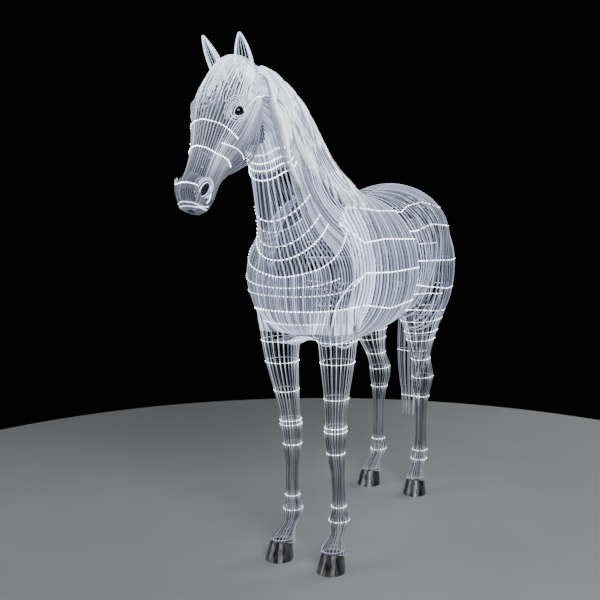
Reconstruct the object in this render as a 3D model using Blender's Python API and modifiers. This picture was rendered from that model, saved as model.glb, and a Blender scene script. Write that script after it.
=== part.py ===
"""A life-size standing horse of clear resin strands, on four hollow-looking steel hooves.

The resin horse is one solid. Four steel hooves stand under its legs and two glass eyes sit in its head.
The horse faces -Y, its left side is +X, and it stands on z = 0 with the origin under its middle.
The free form is drawn in centimetres on a horse 160 cm high at the withers.
"""

import math

import bmesh
import bpy
import numpy as np
from mathutils import Matrix, Vector

# Driving sizes, in metres
WITHERS_HEIGHT = 1.60  # ground to the top of the shoulders
HOOF_HEIGHT = 0.078  # steel hoof at the toe
HOOF_HEEL_SHARE = 0.80  # height of the heel as a share of the toe
HOOF_TOP_HALF_WIDTH = 0.047
HOOF_TOP_HALF_LENGTH = 0.050
HOOF_SOLE_HALF_WIDTH = 0.059
HOOF_SOLE_HALF_LENGTH = 0.064
HOOF_TOE_LEAN = 0.020  # how far the sole's middle lies ahead of the top's
EYE_RADIUS = 0.021
SEAT_GAP = 0.0003  # between pieces that touch
DRAWN_WITHERS_CM = 160.0

# Fineness of the skin
SKIN_VOXEL = 0.010  # cell of the voxel skin on the drawn horse
SKIN_SMOOTHING = 9
SKIN_TRIANGLES = 7100
HEAD_WEIGHT = 0.5  # how freely the head is thinned out, against 1 for the body
WEIGHT_STRENGTH = 4e-4
LOFT_SIDES = 56
LOFT_STEPS = 8  # rings between two drawn stations
HOOF_SIDES = 36

CM = WITHERS_HEIGHT / DRAWN_WITHERS_CM

# Colours
CLEAR_RESIN = (0.86, 0.89, 0.96)
STEEL = (0.56, 0.55, 0.53)
DARK_GLASS = (0.010, 0.010, 0.012)

# A station is (top y, top z, bottom y, bottom z, half width, middle x, fullness), in centimetres.
# Fullness moves the widest point from the middle towards the top (+) or the bottom (-).
TRUNK = [
    (-76.4, 123, -76.4, 117, 2.5, 0, 0.0),
    (-75.4, 130, -75.2, 110, 8.5, 0, 0.0),
    (-73.6, 137, -72.8, 105, 14.5, 0, 0.0),
    (-70.0, 143, -68.8, 101.5, 19.2, 0, 0.0),
    (-63.5, 148, -62.0, 98, 22.3, 0, 0.0),
    (-54.0, 152.5, -52.0, 95.3, 24.0, 0, -0.05),
    (-42.0, 158, -41.0, 92.3, 24.8, 0, -0.10),
    (-29.0, 160, -28.0, 90.5, 26.2, 0, -0.13),
    (-14.0, 156.5, -12.0, 90, 28.2, 0, -0.10),
    (2.0, 154.5, 4.0, 91.2, 29.6, 0, -0.06),
    (18.0, 156.5, 20.0, 94, 29.4, 0, -0.02),
    (32.0, 159.5, 34.0, 98, 28.8, 0, 0.05),
    (45.0, 160.3, 46.0, 102, 28.4, 0, 0.08),
    (57.0, 157.5, 57.0, 105, 26.8, 0, 0.08),
    (68.0, 150.5, 67.0, 108, 22.5, 0, 0.05),
    (76.0, 142, 75.0, 114, 16.0, 0, 0.0),
    (80.0, 134, 80.0, 122, 7.5, 0, 0.0),
    (81.0, 130, 81.0, 126, 2.0, 0, 0.0),
]

NECK = [
    (-13, 151, -56, 98, 17.0, 0, -0.10),
    (-22, 158.5, -71, 114, 18.5, 0, -0.15),
    (-34.5, 161.4, -78.5, 126.5, 15.8, 0, -0.15),
    (-45.5, 168.5, -82.3, 136.5, 12.8, 0, -0.12),
    (-57, 178.6, -86.0, 147, 10.9, -0.2, -0.08),
    (-68, 188.6, -88.4, 156, 9.8, -0.6, -0.05),
    (-80, 195, -90.2, 163.5, 9.2, -1.0, 0.0),
    (-91, 198.8, -92.2, 170, 8.7, -1.4, 0.0),
    (-101, 200.3, -96.0, 175, 7.8, -1.8, 0.0),
    (-108, 199.5, -101, 180, 6.0, -1.8, 0.0),
]

HEAD = [
    (-96, 199.5, -93, 184, 5.4, -1.8, 0.0),
    (-104, 202, -95, 175, 7.6, -1.8, 0.05),
    (-113, 200, -98.5, 168.6, 8.5, -1.8, 0.10),
    (-119.8, 195, -103.5, 164.5, 9.0, -1.8, 0.16),
    (-124.9, 188.4, -109.3, 162.2, 8.8, -1.8, 0.18),
    (-128.6, 181, -115, 160.8, 7.5, -1.8, 0.14),
    (-131.2, 174, -119.7, 158.8, 6.1, -1.6, 0.06),
    (-134.6, 167.4, -123.5, 156.0, 5.3, -1.4, 0.0),
    (-138.4, 162.0, -126.2, 152.6, 5.1, -1.2, -0.05),
    (-141.6, 158.6, -129.0, 149.8, 5.3, -1.1, 0.0),
    (-142.3, 154.2, -132.4, 148.0, 5.1, -1.0, 0.0),
    (-140.2, 150.6, -135.2, 147.9, 3.7, -1.0, 0.0),
    (-139.0, 149.4, -136.6, 148.6, 1.4, -1.0, 0.0),
]

# A leg's station is (front y, front z, back y, back z, half width, middle x), in centimetres.
FORELEG = [
    (-70.0, 124, -40.0, 118, 7.0, 13.6),
    (-66.0, 110, -39.0, 104, 7.9, 13.5),
    (-61.6, 96, -40.4, 94, 7.6, 13.3),
    (-59.5, 86, -42.4, 86, 6.9, 13.2),
    (-57.8, 76, -43.6, 76, 5.6, 12.9),
    (-56.6, 66.5, -44.9, 66.5, 4.5, 12.7),
    (-56.4, 59.5, -45.6, 59.5, 4.1, 12.7),
    (-57.2, 54.5, -45.2, 55.0, 4.9, 12.7),
    (-57.4, 49.5, -45.0, 50.5, 5.0, 12.8),
    (-56.0, 44.5, -46.0, 45.0, 4.1, 13.1),
    (-54.4, 39.0, -46.8, 39.0, 3.1, 13.5),
    (-53.8, 31.0, -46.9, 31.0, 2.8, 13.8),
    (-53.6, 23.5, -46.2, 23.5, 3.0, 13.8),
    (-54.2, 18.5, -44.8, 17.5, 4.2, 13.8),
    (-55.6, 14.8, -46.6, 12.8, 3.6, 14.0),
    (-59.2, 12.0, -50.2, 9.6, 3.8, 14.3),
    (-62.7, 10.2, -52.0, 7.4, 4.9, 14.7),
    (-64.4, 6.5, -52.6, 4.5, 5.5, 15.0),
]

HINDLEG = [
    (21.0, 138, 72.0, 140, 12.0, 13.5),
    (21.5, 124, 79.5, 128, 14.0, 14.6),
    (23.0, 110, 79.5, 116, 13.6, 15.2),
    (27.8, 98, 76.0, 104, 11.6, 15.2),
    (36.5, 87, 69.8, 92, 8.3, 14.4),
    (44.3, 77.5, 66.0, 81, 6.2, 13.2),
    (51.2, 69, 66.4, 72, 4.8, 12.2),
    (55.2, 62, 70.6, 66.0, 4.6, 11.7),
    (57.0, 57, 71.4, 60, 5.2, 11.5),
    (58.2, 51.5, 69.0, 53, 4.5, 11.4),
    (58.8, 45, 67.0, 45, 3.6, 11.4),
    (59.2, 35, 66.2, 35, 3.0, 11.4),
    (59.0, 24.5, 66.4, 24.5, 3.1, 11.4),
    (57.6, 19.0, 67.4, 18.5, 4.3, 10.9),
    (55.8, 15.2, 65.0, 13.4, 3.6, 11.1),
    (52.2, 12.2, 61.4, 10.0, 3.8, 11.5),
    (49.0, 10.2, 59.6, 7.6, 4.8, 11.9),
    (47.6, 6.5, 59.0, 4.5, 5.4, 12.2),
]

# The stance: how far each leg's foot is moved from the drawn one, (sideways, back), in centimetres.
# The right legs are mirrored first, so a positive sideways step is away from the middle.
STANCE = {
    "front_left": (0.0, -0.5),
    "front_right": (-4.3, 2.6),
    "hind_left": (0.0, -1.0),
    "hind_right": (3.2, 4.0),
}
STANCE_FADE_CM = (40.0, 95.0)  # the step is whole below the first height, and gone above the second

TAIL = [
    (72.0, 146, 70.0, 137, 2.6, 0, 0.0),
    (79.0, 145, 76.5, 135.5, 3.6, -0.2, 0.0),
    (86.0, 141, 79.5, 131.5, 4.6, -0.6, 0.0),
    (91.5, 131, 82.0, 125.5, 5.8, -1.2, 0.0),
    (94.8, 117, 83.6, 114.5, 7.0, -2.0, 0.0),
    (96.2, 100, 84.2, 100, 8.2, -2.8, 0.0),
    (96.0, 82, 84.2, 82, 8.8, -3.4, 0.0),
    (94.8, 64, 84.4, 64, 8.2, -3.8, 0.0),
    (92.8, 48, 85.4, 48, 6.0, -4.0, 0.0),
    (90.8, 37, 87.0, 37, 3.2, -4.0, 0.0),
    (89.4, 31.5, 88.4, 31.5, 1.0, -4.0, 0.0),
]

# The mane's locks start along the crest, from the poll to the withers: (y, z), in centimetres.
MANE_ROOTS = [
    (-101, 198.6),
    (-93, 200.8),
    (-85, 199.0),
    (-77, 195.6),
    (-69, 190.8),
    (-61, 183.4),
    (-53, 175.8),
    (-46, 169.4),
    (-39, 163.0),
    (-32, 159.4),
]
LOCK_RUN_CM = (26.0, -44.0)  # from a lock's root to its tip: (back, up)
LOCK_WAVE_CM = 1.7  # how far a lock swings to each side of its line
LOCK_STAND_CM = 0.4  # how far its middle stands off the neck
LOCK_SUNK_CM = 5.0  # how deep its root sits under the crest
LOCK_HALF_WIDTH_CM = 5.2
LOCK_HALF_DEPTH_CM = 2.1

# The forelock's locks: (x, y, z) from the poll to the brow, in centimetres.
FORELOCK = [
    [(-1.6, -100, 200.4), (-0.2, -108, 201.6), (1.4, -115, 198.8), (2.6, -120.7, 194.6), (3.4, -124.4, 189.5)],
    [(-2.0, -100, 200.4), (-2.8, -109, 201.6), (-3.4, -116, 198.8), (-4.0, -122.0, 194.2), (-4.8, -125.4, 189.0)],
    [(-1.0, -100, 200.6), (1.6, -106, 201.6), (4.2, -111, 198.6), (6.0, -115, 194.0), (6.8, -117.5, 190.5)],
]
FORELOCK_HALF_WIDTH_CM = 2.1
FORELOCK_HALF_DEPTH_CM = 1.3

# The head's small forms, for its left side, in centimetres: (x, y, z) from the head's middle plane.
HEAD_MIDDLE_X = -1.8
EYE_AT = (8.3, -119.4, 182.6)
BROW_AT = (6.9, -118.6, 185.0)
BROW_RADII = (3.8, 4.8, 4.1)
CHEEK_AT = (3.9, -106.0, 173.2)
CHEEK_RADII = (3.9, 8.6, 8.8)
NOSTRIL_AT = (3.6, -137.6, 156.3)
NOSTRIL_RIM_RADII = (2.0, 2.6, 3.8)
NOSTRIL_HOLE_RADII = (1.6, 1.5, 2.7)
NOSTRIL_HOLE_OUT_CM = 1.8  # how far the hole's middle lies outside the rim's
NOSTRIL_TILT = math.radians(26)
EAR_BASE = (4.8, -107.0, 194.5)
EAR_TIP = (7.3, -116.5, 210.8)
EAR_HALF_WIDTH_CM = 3.3
EAR_HALF_DEPTH_CM = 1.9
EAR_CUP_SHARE = 0.66  # size of the ear's hollow against the ear
MOUTH_AT = (-0.4, -134.0, 151.9)
MOUTH_INNER_CM = (4.3, 8.2)  # half width and half length of what the slit leaves standing
MOUTH_OUTER_CM = (10.0, 16.0)
MOUTH_SLIT_CM = 0.7
MOUTH_TILT = math.radians(14)  # the corners lie higher than the lips
MOUTH_REACH = math.radians(118)  # how far the slit runs round from the front

HEAD_AHEAD_CM = -94.0  # the head lies ahead of this, and above the next
HEAD_ABOVE_CM = 146.0

# The body's large muscles, for its left side, in centimetres
PECTORAL_AT = (8.6, -65.0, 119.0)
PECTORAL_RADII = (11.0, 9.4, 16.0)
HAUNCH_AT = (15.5, 46.0, 128.0)
HAUNCH_RADII = (13.0, 26.0, 25.0)


def clear_scene():
    for old in list(bpy.data.objects):
        bpy.data.objects.remove(old)


def new_collection(name):
    collection = bpy.data.collections.new(name)
    bpy.context.scene.collection.children.link(collection)
    return collection


def new_material(name, colour, roughness, metallic=0.0, transmission=0.0):
    material = bpy.data.materials.new(name)
    material.use_nodes = True
    shader = material.node_tree.nodes["Principled BSDF"]
    shader.inputs["Base Color"].default_value = (*colour, 1.0)
    shader.inputs["Roughness"].default_value = roughness
    shader.inputs["Metallic"].default_value = metallic
    shader.inputs["Transmission Weight"].default_value = transmission
    return material


def new_object(name, bm, collection, material=None):
    """Puts a bmesh into a new mesh object."""
    mesh = bpy.data.meshes.new(name)
    bm.to_mesh(mesh)
    bm.free()
    made = bpy.data.objects.new(name, mesh)
    collection.objects.link(made)
    if material:
        mesh.materials.append(material)
    return made


def smooth_rows(rows, steps):
    """Reads a Catmull-Rom curve through the rows, with the given number of steps between two rows."""
    rows = np.array(rows, float)
    ends = np.vstack([2 * rows[0] - rows[1], rows, 2 * rows[-1] - rows[-2]])
    share = np.linspace(0, 1, steps, endpoint=False)[:, None]
    a, b, c, d = (ends[i : len(ends) - 3 + i, None, :] for i in range(4))
    curve = b + 0.5 * share * (c - a + share * (2 * a - 5 * b + 4 * c - d + share * (3 * (b - c) + d - a)))
    return np.vstack([curve.reshape(-1, rows.shape[1]), rows[-1]])


def skin_rings(bm, rings):
    """Joins closed rings of points into a tube with both ends closed."""
    made = [[bm.verts.new(point) for point in ring] for ring in rings]
    count = len(made[0])
    for lower, upper in zip(made, made[1:]):
        for i in range(count):
            j = (i + 1) % count
            bm.faces.new((lower[i], lower[j], upper[j], upper[i]))
    bm.faces.new(made[0][::-1])
    bm.faces.new(made[-1])


def loft(bm, stations, sides=LOFT_SIDES, steps=LOFT_STEPS):
    """A body with egg-shaped sections, each between its top and its bottom point in the horse's side view."""
    rows = smooth_rows(stations, steps)
    turn = np.linspace(0, 2 * math.pi, sides, endpoint=False)
    rings = []
    for top_y, top_z, bottom_y, bottom_z, half_width, middle_x, fullness in rows:
        along = np.cos(turn) + fullness * np.sin(turn) ** 2
        y = (top_y + bottom_y) / 2 + along * (top_y - bottom_y) / 2
        z = (top_z + bottom_z) / 2 + along * (top_z - bottom_z) / 2
        x = middle_x + half_width * np.sin(turn)
        rings.append(np.column_stack([x, y, z]) * CM)
    skin_rings(bm, rings)


def ball(bm, centre, radii, tilt=0.0):
    """An ellipsoid with its middle and radii in metres, leaned about the X axis."""
    matrix = (
        Matrix.Translation(centre)
        @ Matrix.Rotation(tilt, 4, "X")
        @ Matrix.Diagonal((*radii, 1.0))
    )
    bmesh.ops.create_uvsphere(bm, u_segments=18, v_segments=12, radius=1.0, matrix=matrix)


def scaled(values, unit=None):
    return tuple(value * (unit or CM) for value in values)


def on_head(place, side):
    """A point of the head's left side in metres, or its mirror image on the right."""
    return Vector(((HEAD_MIDDLE_X + side * place[0]) * CM, place[1] * CM, place[2] * CM))


def leg_rows(stations, leg):
    """A leg's stations with its side and its stance worked in."""
    side = 1 if leg.endswith("left") else -1
    step_x, step_y = STANCE[leg]
    whole, top = STANCE_FADE_CM
    rows = []
    for front_y, front_z, back_y, back_z, half_width, middle_x in stations:
        height = (front_z + back_z) / 2
        share = max(0.0, min(1.0, (top - height) / (top - whole)))
        share = share * share * (3 - 2 * share)
        x = side * (middle_x + share * step_x)
        rows.append((front_y + share * step_y, front_z, back_y + share * step_y, back_z, half_width, x, 0.0))
    return rows


def neck_side(y, z):
    """How far out the neck's left side stands at a point of the side view, in centimetres."""
    rows = smooth_rows(NECK, LOFT_STEPS)
    middle = (rows[:, 0:2] + rows[:, 2:4]) / 2
    half = (rows[:, 0:2] - rows[:, 2:4]) / 2
    away = np.array([y, z]) - middle
    off_line = np.abs(away[:, 0] * half[:, 1] - away[:, 1] * half[:, 0]) / np.hypot(half[:, 0], half[:, 1])
    nearest = off_line.argmin()
    along = (away[nearest] @ half[nearest]) / (half[nearest] @ half[nearest])
    return rows[nearest, 5] + rows[nearest, 4] * math.sqrt(max(0.0, 1 - along**2))


def flat_tube(bm, path, half_width, half_depth, normals):
    """A lock of hair: a flat tube along a path, lens-shaped and pointed at its tip."""
    path = np.array(path, float)
    heading = np.gradient(path, axis=0)
    heading /= np.linalg.norm(heading, axis=1)[:, None]
    across = np.cross(heading, normals)
    across /= np.linalg.norm(across, axis=1)[:, None]
    outward = np.cross(across, heading)
    turn = np.linspace(0, 2 * math.pi, 16, endpoint=False)[:, None]
    share = np.linspace(0, 1, len(path))
    swell = np.clip(np.sin(math.pi * np.minimum(1.0, 0.24 + 0.76 * share)) ** 0.6, 0.10, 1.0)
    rings = [
        (path[i] + swell[i] * (np.cos(turn) * half_width * across[i] + np.sin(turn) * half_depth * outward[i])) * CM
        for i in range(len(path))
    ]
    skin_rings(bm, rings)


def mane_lock(bm, root, number):
    """One wavy lock, from the crest down and back over the left side of the neck."""
    root_y, root_z = root
    path = [(0.0, root_y - LOCK_SUNK_CM / 2, root_z - LOCK_SUNK_CM)]
    for t in np.linspace(0.03, 1, 17):
        wave = LOCK_WAVE_CM * t * math.sin(2 * math.pi * t + 1.7 * number)
        y = root_y + LOCK_RUN_CM[0] * t**1.15 + wave
        z = root_z + LOCK_RUN_CM[1] * t**1.2 + wave / 2
        path.append((neck_side(y, z) + LOCK_STAND_CM, y, z))
    normals = np.tile([1.0, 0.0, 0.25], (len(path), 1))
    flat_tube(bm, path, LOCK_HALF_WIDTH_CM, LOCK_HALF_DEPTH_CM, normals)


def forelock(bm, points):
    """One lock that falls from the poll over the forehead."""
    path = smooth_rows(points, 4)
    normals = np.tile([0.0, -0.9, 0.5], (len(path), 1))
    flat_tube(bm, path, FORELOCK_HALF_WIDTH_CM, FORELOCK_HALF_DEPTH_CM, normals)


def ear(bm, side, share=1.0, rise=0.0):
    """A pointed leaf from the ear's base to its tip. share shrinks it, and rise lifts it forward."""
    base, tip = on_head(EAR_BASE, side), on_head(EAR_TIP, side)
    axis = tip - base
    forward = Vector((side * 0.35, -1.0, -0.25)).normalized()
    across = axis.cross(forward).normalized()
    forward = across.cross(axis).normalized()
    turn = np.linspace(0, 2 * math.pi, 16, endpoint=False)
    rings = []
    for t in np.linspace(0.0, 1.0, 12):
        width = math.sin(math.pi * (0.22 + 0.78 * t) ** 0.9) ** 0.75 if t < 1 else 0.0
        width = max(width, 0.06) * share
        centre = base + axis * t + forward * rise
        ring = [
            centre
            + across * (math.cos(a) * width * EAR_HALF_WIDTH_CM * CM)
            + forward * (math.sin(a) * width * EAR_HALF_DEPTH_CM * CM)
            for a in turn
        ]
        rings.append(ring)
    skin_rings(bm, rings)


def finish_normals(bm):
    bmesh.ops.recalc_face_normals(bm, faces=bm.faces)


def rough_figure(collection):
    """Every overlapping body of the horse, in one mesh."""
    bm = bmesh.new()
    for stations in (TRUNK, NECK, HEAD, TAIL):
        loft(bm, stations)
    for leg in STANCE:
        loft(bm, leg_rows(FORELEG if leg.startswith("front") else HINDLEG, leg))
    for number, root in enumerate(MANE_ROOTS):
        mane_lock(bm, root, number)
    for points in FORELOCK:
        forelock(bm, points)
    for side in (1, -1):
        ball(bm, on_head(BROW_AT, side), scaled(BROW_RADII))
        ball(bm, on_head(CHEEK_AT, side), scaled(CHEEK_RADII))
        ball(bm, on_head(NOSTRIL_AT, side), scaled(NOSTRIL_RIM_RADII), NOSTRIL_TILT)
        mirrored = (side * PECTORAL_AT[0], *PECTORAL_AT[1:])
        ball(bm, scaled(mirrored), scaled(PECTORAL_RADII))
        mirrored = (side * HAUNCH_AT[0], *HAUNCH_AT[1:])
        ball(bm, scaled(mirrored), scaled(HAUNCH_RADII))
        ear(bm, side)
    finish_normals(bm)
    return new_object("horse_figure", bm, collection)


def add_modifier(target, kind, **settings):
    modifier = target.modifiers.new(kind.title(), kind)
    for name, value in settings.items():
        setattr(modifier, name, value)
    return modifier


def bake(target):
    """Replaces an object's mesh by the one that its modifiers make."""
    graph = bpy.context.evaluated_depsgraph_get()
    mesh = bpy.data.meshes.new_from_object(target.evaluated_get(graph))
    target.modifiers.clear()
    target.data = mesh
    return mesh


def thinning_weights(figure):
    """Weights the body fully and the head less, so that the head keeps more triangles."""
    group = figure.vertex_groups.new(name="plain")
    head = [v.index for v in figure.data.vertices if v.co.y < HEAD_AHEAD_CM * CM and v.co.z > HEAD_ABOVE_CM * CM]
    group.add(range(len(figure.data.vertices)), 1.0, "REPLACE")
    group.add(head, HEAD_WEIGHT, "REPLACE")


def skin(figure):
    """Fuses the overlapping bodies into one smooth skin of a set number of triangles."""
    add_modifier(figure, "REMESH", mode="VOXEL", voxel_size=SKIN_VOXEL * CM * 100, adaptivity=0.0)
    add_modifier(figure, "SMOOTH", factor=0.5, iterations=SKIN_SMOOTHING)
    mesh = bake(figure)
    mesh.calc_loop_triangles()
    thinning_weights(figure)
    share = SKIN_TRIANGLES / len(mesh.loop_triangles)
    thinning = add_modifier(figure, "DECIMATE", ratio=share, use_collapse_triangulate=True)
    thinning.vertex_group = "plain"
    thinning.vertex_group_factor = WEIGHT_STRENGTH
    bake(figure)


def cutter(name, bm, collection):
    finish_normals(bm)
    made = new_object(name, bm, collection)
    made.hide_render = True
    made.display_type = "WIRE"
    return made


def cut(figure, tool):
    add_modifier(figure, "BOOLEAN", operation="DIFFERENCE", object=tool, solver="EXACT")


def hoof_place(leg):
    """The middle of a hoof's top, in metres, worked out from the leg's last station."""
    rows = leg_rows(FORELEG if leg.startswith("front") else HINDLEG, leg)
    front_y, _, back_y, _, _, x, _ = rows[-1]
    return Vector((x * CM, (front_y + back_y) / 2 * CM, 0.0))


def hoof_rings(top_half_width, top_half_length, toe_height, heel_height, sole_z=0.0):
    """The hoof's sole and its sloping top, about the middle of the top."""
    turn = np.linspace(0, 2 * math.pi, HOOF_SIDES, endpoint=False)
    sole = np.column_stack(
        [
            HOOF_SOLE_HALF_WIDTH * np.sin(turn),
            HOOF_SOLE_HALF_LENGTH * -np.cos(turn) - HOOF_TOE_LEAN,
            np.full(HOOF_SIDES, sole_z),
        ]
    )
    lean = (1 - np.cos(turn)) / 2
    top = np.column_stack(
        [
            top_half_width * np.sin(turn),
            top_half_length * -np.cos(turn),
            toe_height + (heel_height - toe_height) * lean,
        ]
    )
    return sole, top


def build_hooves(collection, material):
    """Four steel hooves: oblique cones, higher at the toe than at the heel."""
    for leg in STANCE:
        sole, top = hoof_rings(
            HOOF_TOP_HALF_WIDTH,
            HOOF_TOP_HALF_LENGTH,
            HOOF_HEIGHT,
            HOOF_HEIGHT * HOOF_HEEL_SHARE,
        )
        bm = bmesh.new()
        skin_rings(bm, [sole, top])
        finish_normals(bm)
        hoof = new_object(f"hoof_{leg}", bm, collection, material)
        hoof.location = hoof_place(leg)


def trim_legs(figure, cutters):
    """Cuts each leg's hem off along the plane just above its hoof."""
    slope = HOOF_HEIGHT * (1 - HOOF_HEEL_SHARE) / (2 * HOOF_TOP_HALF_LENGTH)
    reach = 0.10 * WITHERS_HEIGHT
    for leg in STANCE:
        place = hoof_place(leg)
        middle = HOOF_HEIGHT * (1 + HOOF_HEEL_SHARE) / 2 + SEAT_GAP
        bm = bmesh.new()
        bmesh.ops.create_cube(bm, size=1.0)
        for vertex in bm.verts:
            x, y = vertex.co.x * reach, vertex.co.y * reach * 2
            z = middle - slope * y if vertex.co.z > 0 else -reach
            vertex.co = (x, y, z)
        tool = cutter(f"hem_cut_{leg}", bm, cutters)
        tool.location = place
        cut(figure, tool)


def build_eyes(collection, material):
    for side, name in ((1, "eye_left"), (-1, "eye_right")):
        bm = bmesh.new()
        bmesh.ops.create_uvsphere(bm, u_segments=16, v_segments=10, radius=EYE_RADIUS)
        eye = new_object(name, bm, collection, material)
        eye.data.shade_smooth()
        eye.location = on_head(EYE_AT, side)


def mouth_slit(cutters):
    """A U-shaped plate round the muzzle that cuts the line between the lips."""
    turn = np.linspace(-MOUTH_REACH, MOUTH_REACH, 21)
    lean = Matrix.Rotation(MOUTH_TILT, 4, "X")
    bm = bmesh.new()
    sections = []
    for angle in turn:
        section = []
        for (half_width, half_length), side in (
            (MOUTH_INNER_CM, 1),
            (MOUTH_OUTER_CM, 1),
            (MOUTH_OUTER_CM, -1),
            (MOUTH_INNER_CM, -1),
        ):
            point = Vector((half_width * math.sin(angle), -half_length * math.cos(angle), side * MOUTH_SLIT_CM / 2))
            section.append((Vector(MOUTH_AT) + Vector((HEAD_MIDDLE_X / 2, 0, 0)) + lean @ point) * CM)
        sections.append(section)
    skin_rings(bm, sections)
    return cutter("mouth_slit", bm, cutters)


def carve_head(figure, cutters):
    """Eye sockets, nostrils, the mouth's line and the hollows of the ears."""
    for side, word in ((1, "left"), (-1, "right")):
        bm = bmesh.new()
        radius = EYE_RADIUS + SEAT_GAP
        bmesh.ops.create_uvsphere(bm, u_segments=16, v_segments=10, radius=radius)
        socket = cutter(f"socket_{word}", bm, cutters)
        socket.location = on_head(EYE_AT, side)
        cut(figure, socket)

        bm = bmesh.new()
        hole = (NOSTRIL_AT[0] + NOSTRIL_HOLE_OUT_CM, *NOSTRIL_AT[1:])
        ball(bm, on_head(hole, side), scaled(NOSTRIL_HOLE_RADII), NOSTRIL_TILT)
        cut(figure, cutter(f"nostril_{word}", bm, cutters))

        bm = bmesh.new()
        ear(bm, side, EAR_CUP_SHARE, EAR_HALF_DEPTH_CM * CM)
        cut(figure, cutter(f"ear_cup_{word}", bm, cutters))
    cut(figure, mouth_slit(cutters))


def build_figure(collection, cutters, material):
    figure = rough_figure(collection)
    skin(figure)
    carve_head(figure, cutters)
    trim_legs(figure, cutters)
    bake(figure)
    figure.data.materials.clear()
    figure.data.materials.append(material)
    figure.data.shade_smooth()
    return figure


def centre_on_origin(parts):
    """Moves every part so that the origin lies under the middle of the whole."""
    bpy.context.view_layer.update()
    corners = [part.matrix_world @ vertex.co for part in parts for vertex in part.data.vertices]
    middle = [(min(c[i] for c in corners) + max(c[i] for c in corners)) / 2 for i in (0, 1)]
    for part in parts:
        part.location.x -= middle[0]
        part.location.y -= middle[1]


def main():
    clear_scene()
    horse = new_collection("strand_horse")
    cutters = new_collection("cutters")
    resin = new_material("clear_resin", CLEAR_RESIN, 0.18, transmission=0.35)
    steel = new_material("brushed_steel", STEEL, 0.32, metallic=1.0)
    glass = new_material("dark_glass", DARK_GLASS, 0.04)
    build_figure(horse, cutters, resin)
    build_hooves(horse, steel)
    build_eyes(horse, glass)
    centre_on_origin(list(horse.objects))


main()
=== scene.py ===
import bpy
import numpy as np
from mathutils import Matrix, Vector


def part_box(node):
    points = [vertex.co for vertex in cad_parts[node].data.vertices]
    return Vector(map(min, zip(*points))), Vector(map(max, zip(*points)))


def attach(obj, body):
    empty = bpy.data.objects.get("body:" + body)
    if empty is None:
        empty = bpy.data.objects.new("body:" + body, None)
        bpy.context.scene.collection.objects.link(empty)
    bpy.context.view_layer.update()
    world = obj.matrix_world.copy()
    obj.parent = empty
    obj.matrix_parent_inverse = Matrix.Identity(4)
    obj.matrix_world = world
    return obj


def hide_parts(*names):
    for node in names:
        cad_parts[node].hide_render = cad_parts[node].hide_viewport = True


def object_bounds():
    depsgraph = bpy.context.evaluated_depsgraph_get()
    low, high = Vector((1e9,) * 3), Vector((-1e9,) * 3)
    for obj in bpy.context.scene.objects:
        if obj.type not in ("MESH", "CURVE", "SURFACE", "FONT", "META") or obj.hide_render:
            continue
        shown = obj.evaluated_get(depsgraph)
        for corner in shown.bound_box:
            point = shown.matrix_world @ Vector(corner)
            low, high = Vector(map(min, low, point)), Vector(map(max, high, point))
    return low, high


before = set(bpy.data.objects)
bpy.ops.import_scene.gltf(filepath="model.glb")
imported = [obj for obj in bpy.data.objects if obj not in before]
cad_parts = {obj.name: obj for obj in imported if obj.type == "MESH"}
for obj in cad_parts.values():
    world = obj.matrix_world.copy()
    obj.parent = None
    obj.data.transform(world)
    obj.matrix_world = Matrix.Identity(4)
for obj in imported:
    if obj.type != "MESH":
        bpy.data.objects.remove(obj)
cad_box = [list(corner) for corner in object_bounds()]

# THE BARREL. Round resin strands are bent into hoops round the ribs, from the shoulders to the flanks,
# with finer ones set between and behind them. They are clear, slightly milky rods, glued where the
# lit bands cross them.
HOOP_STEP = 3.0
HOOP_POINTS = 104
HOOP_RADIUS = 0.58
FINE_HOOP_RADIUS, FINE_HOOP_DEPTH = 0.38, 1.0
HOOPS_START, FULL_HOOPS_START, HOOPS_END = -57.0, -36.0, 4.5
HIP_HOOPS = [7.4, 10.8, 14.8, 19.2, 23.9, 28.8, 33.7, 38.6, 43.5, 48.5]
HIP_RADIUS, HIP_DEPTH = 0.32, 0.5
SHOULDER_TOP, SHOULDER_RISE, SHOULDER_RUN = 143.0, 16.0, 21.0
KEEL_START, KEEL_RADIUS, KEEL_DEPTH = -56.0, 0.38, 0.4
RIB_HEIGHT = 128.0
ELBOW_HEIGHT = 100.0
BEHIND_FORELEG = -43.5
THIGH_TOP, AHEAD_OF_THIGH = 95.0, 30.0
STRAND_SIDES = 5
LEFT, UP = (1.0, 0, 0), (0, 0, 1.0)

# Sizes and places are centimetres on the horse as it was drawn, facing -Y with its left side at +X. The
# left eye's place in the drawing and in the frame gives where the drawing's origin lies.
eye_low, eye_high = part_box("eye_left")
EYE_DRAWN_AT = np.array([6.5, -119.4, 182.6])
ORIGIN = (np.array(eye_low) + np.array(eye_high)) / 2 - EYE_DRAWN_AT / 100

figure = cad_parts["horse_figure"].data
figure.calc_loop_triangles()
figure_points = np.empty(len(figure.vertices) * 3, np.float32)
figure.vertices.foreach_get("co", figure_points)
figure_faces = np.empty(len(figure.loop_triangles) * 3, np.int32)
figure.loop_triangles.foreach_get("vertices", figure_faces)
SKIN = (figure_points.reshape(-1, 3)[figure_faces.reshape(-1, 3)] - ORIGIN) * 100


def through(points, count):
    """A smooth curve through the points: a Catmull-Rom cubic from each to the next, in even shares."""
    points = np.asarray(points, float)
    share = np.linspace(0, len(points) - 1, count)
    first = np.minimum(share.astype(int), len(points) - 2)
    t = (share - first).reshape((-1,) + (1,) * (points.ndim - 1))
    a, b, c, d = (points[np.clip(first + k, 0, len(points) - 1)] for k in (-1, 0, 1, 2))
    return b + t / 2 * (c - a + t * (2 * a - 5 * b + 4 * c - d + t * (3 * (b - c) + d - a)))


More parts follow.
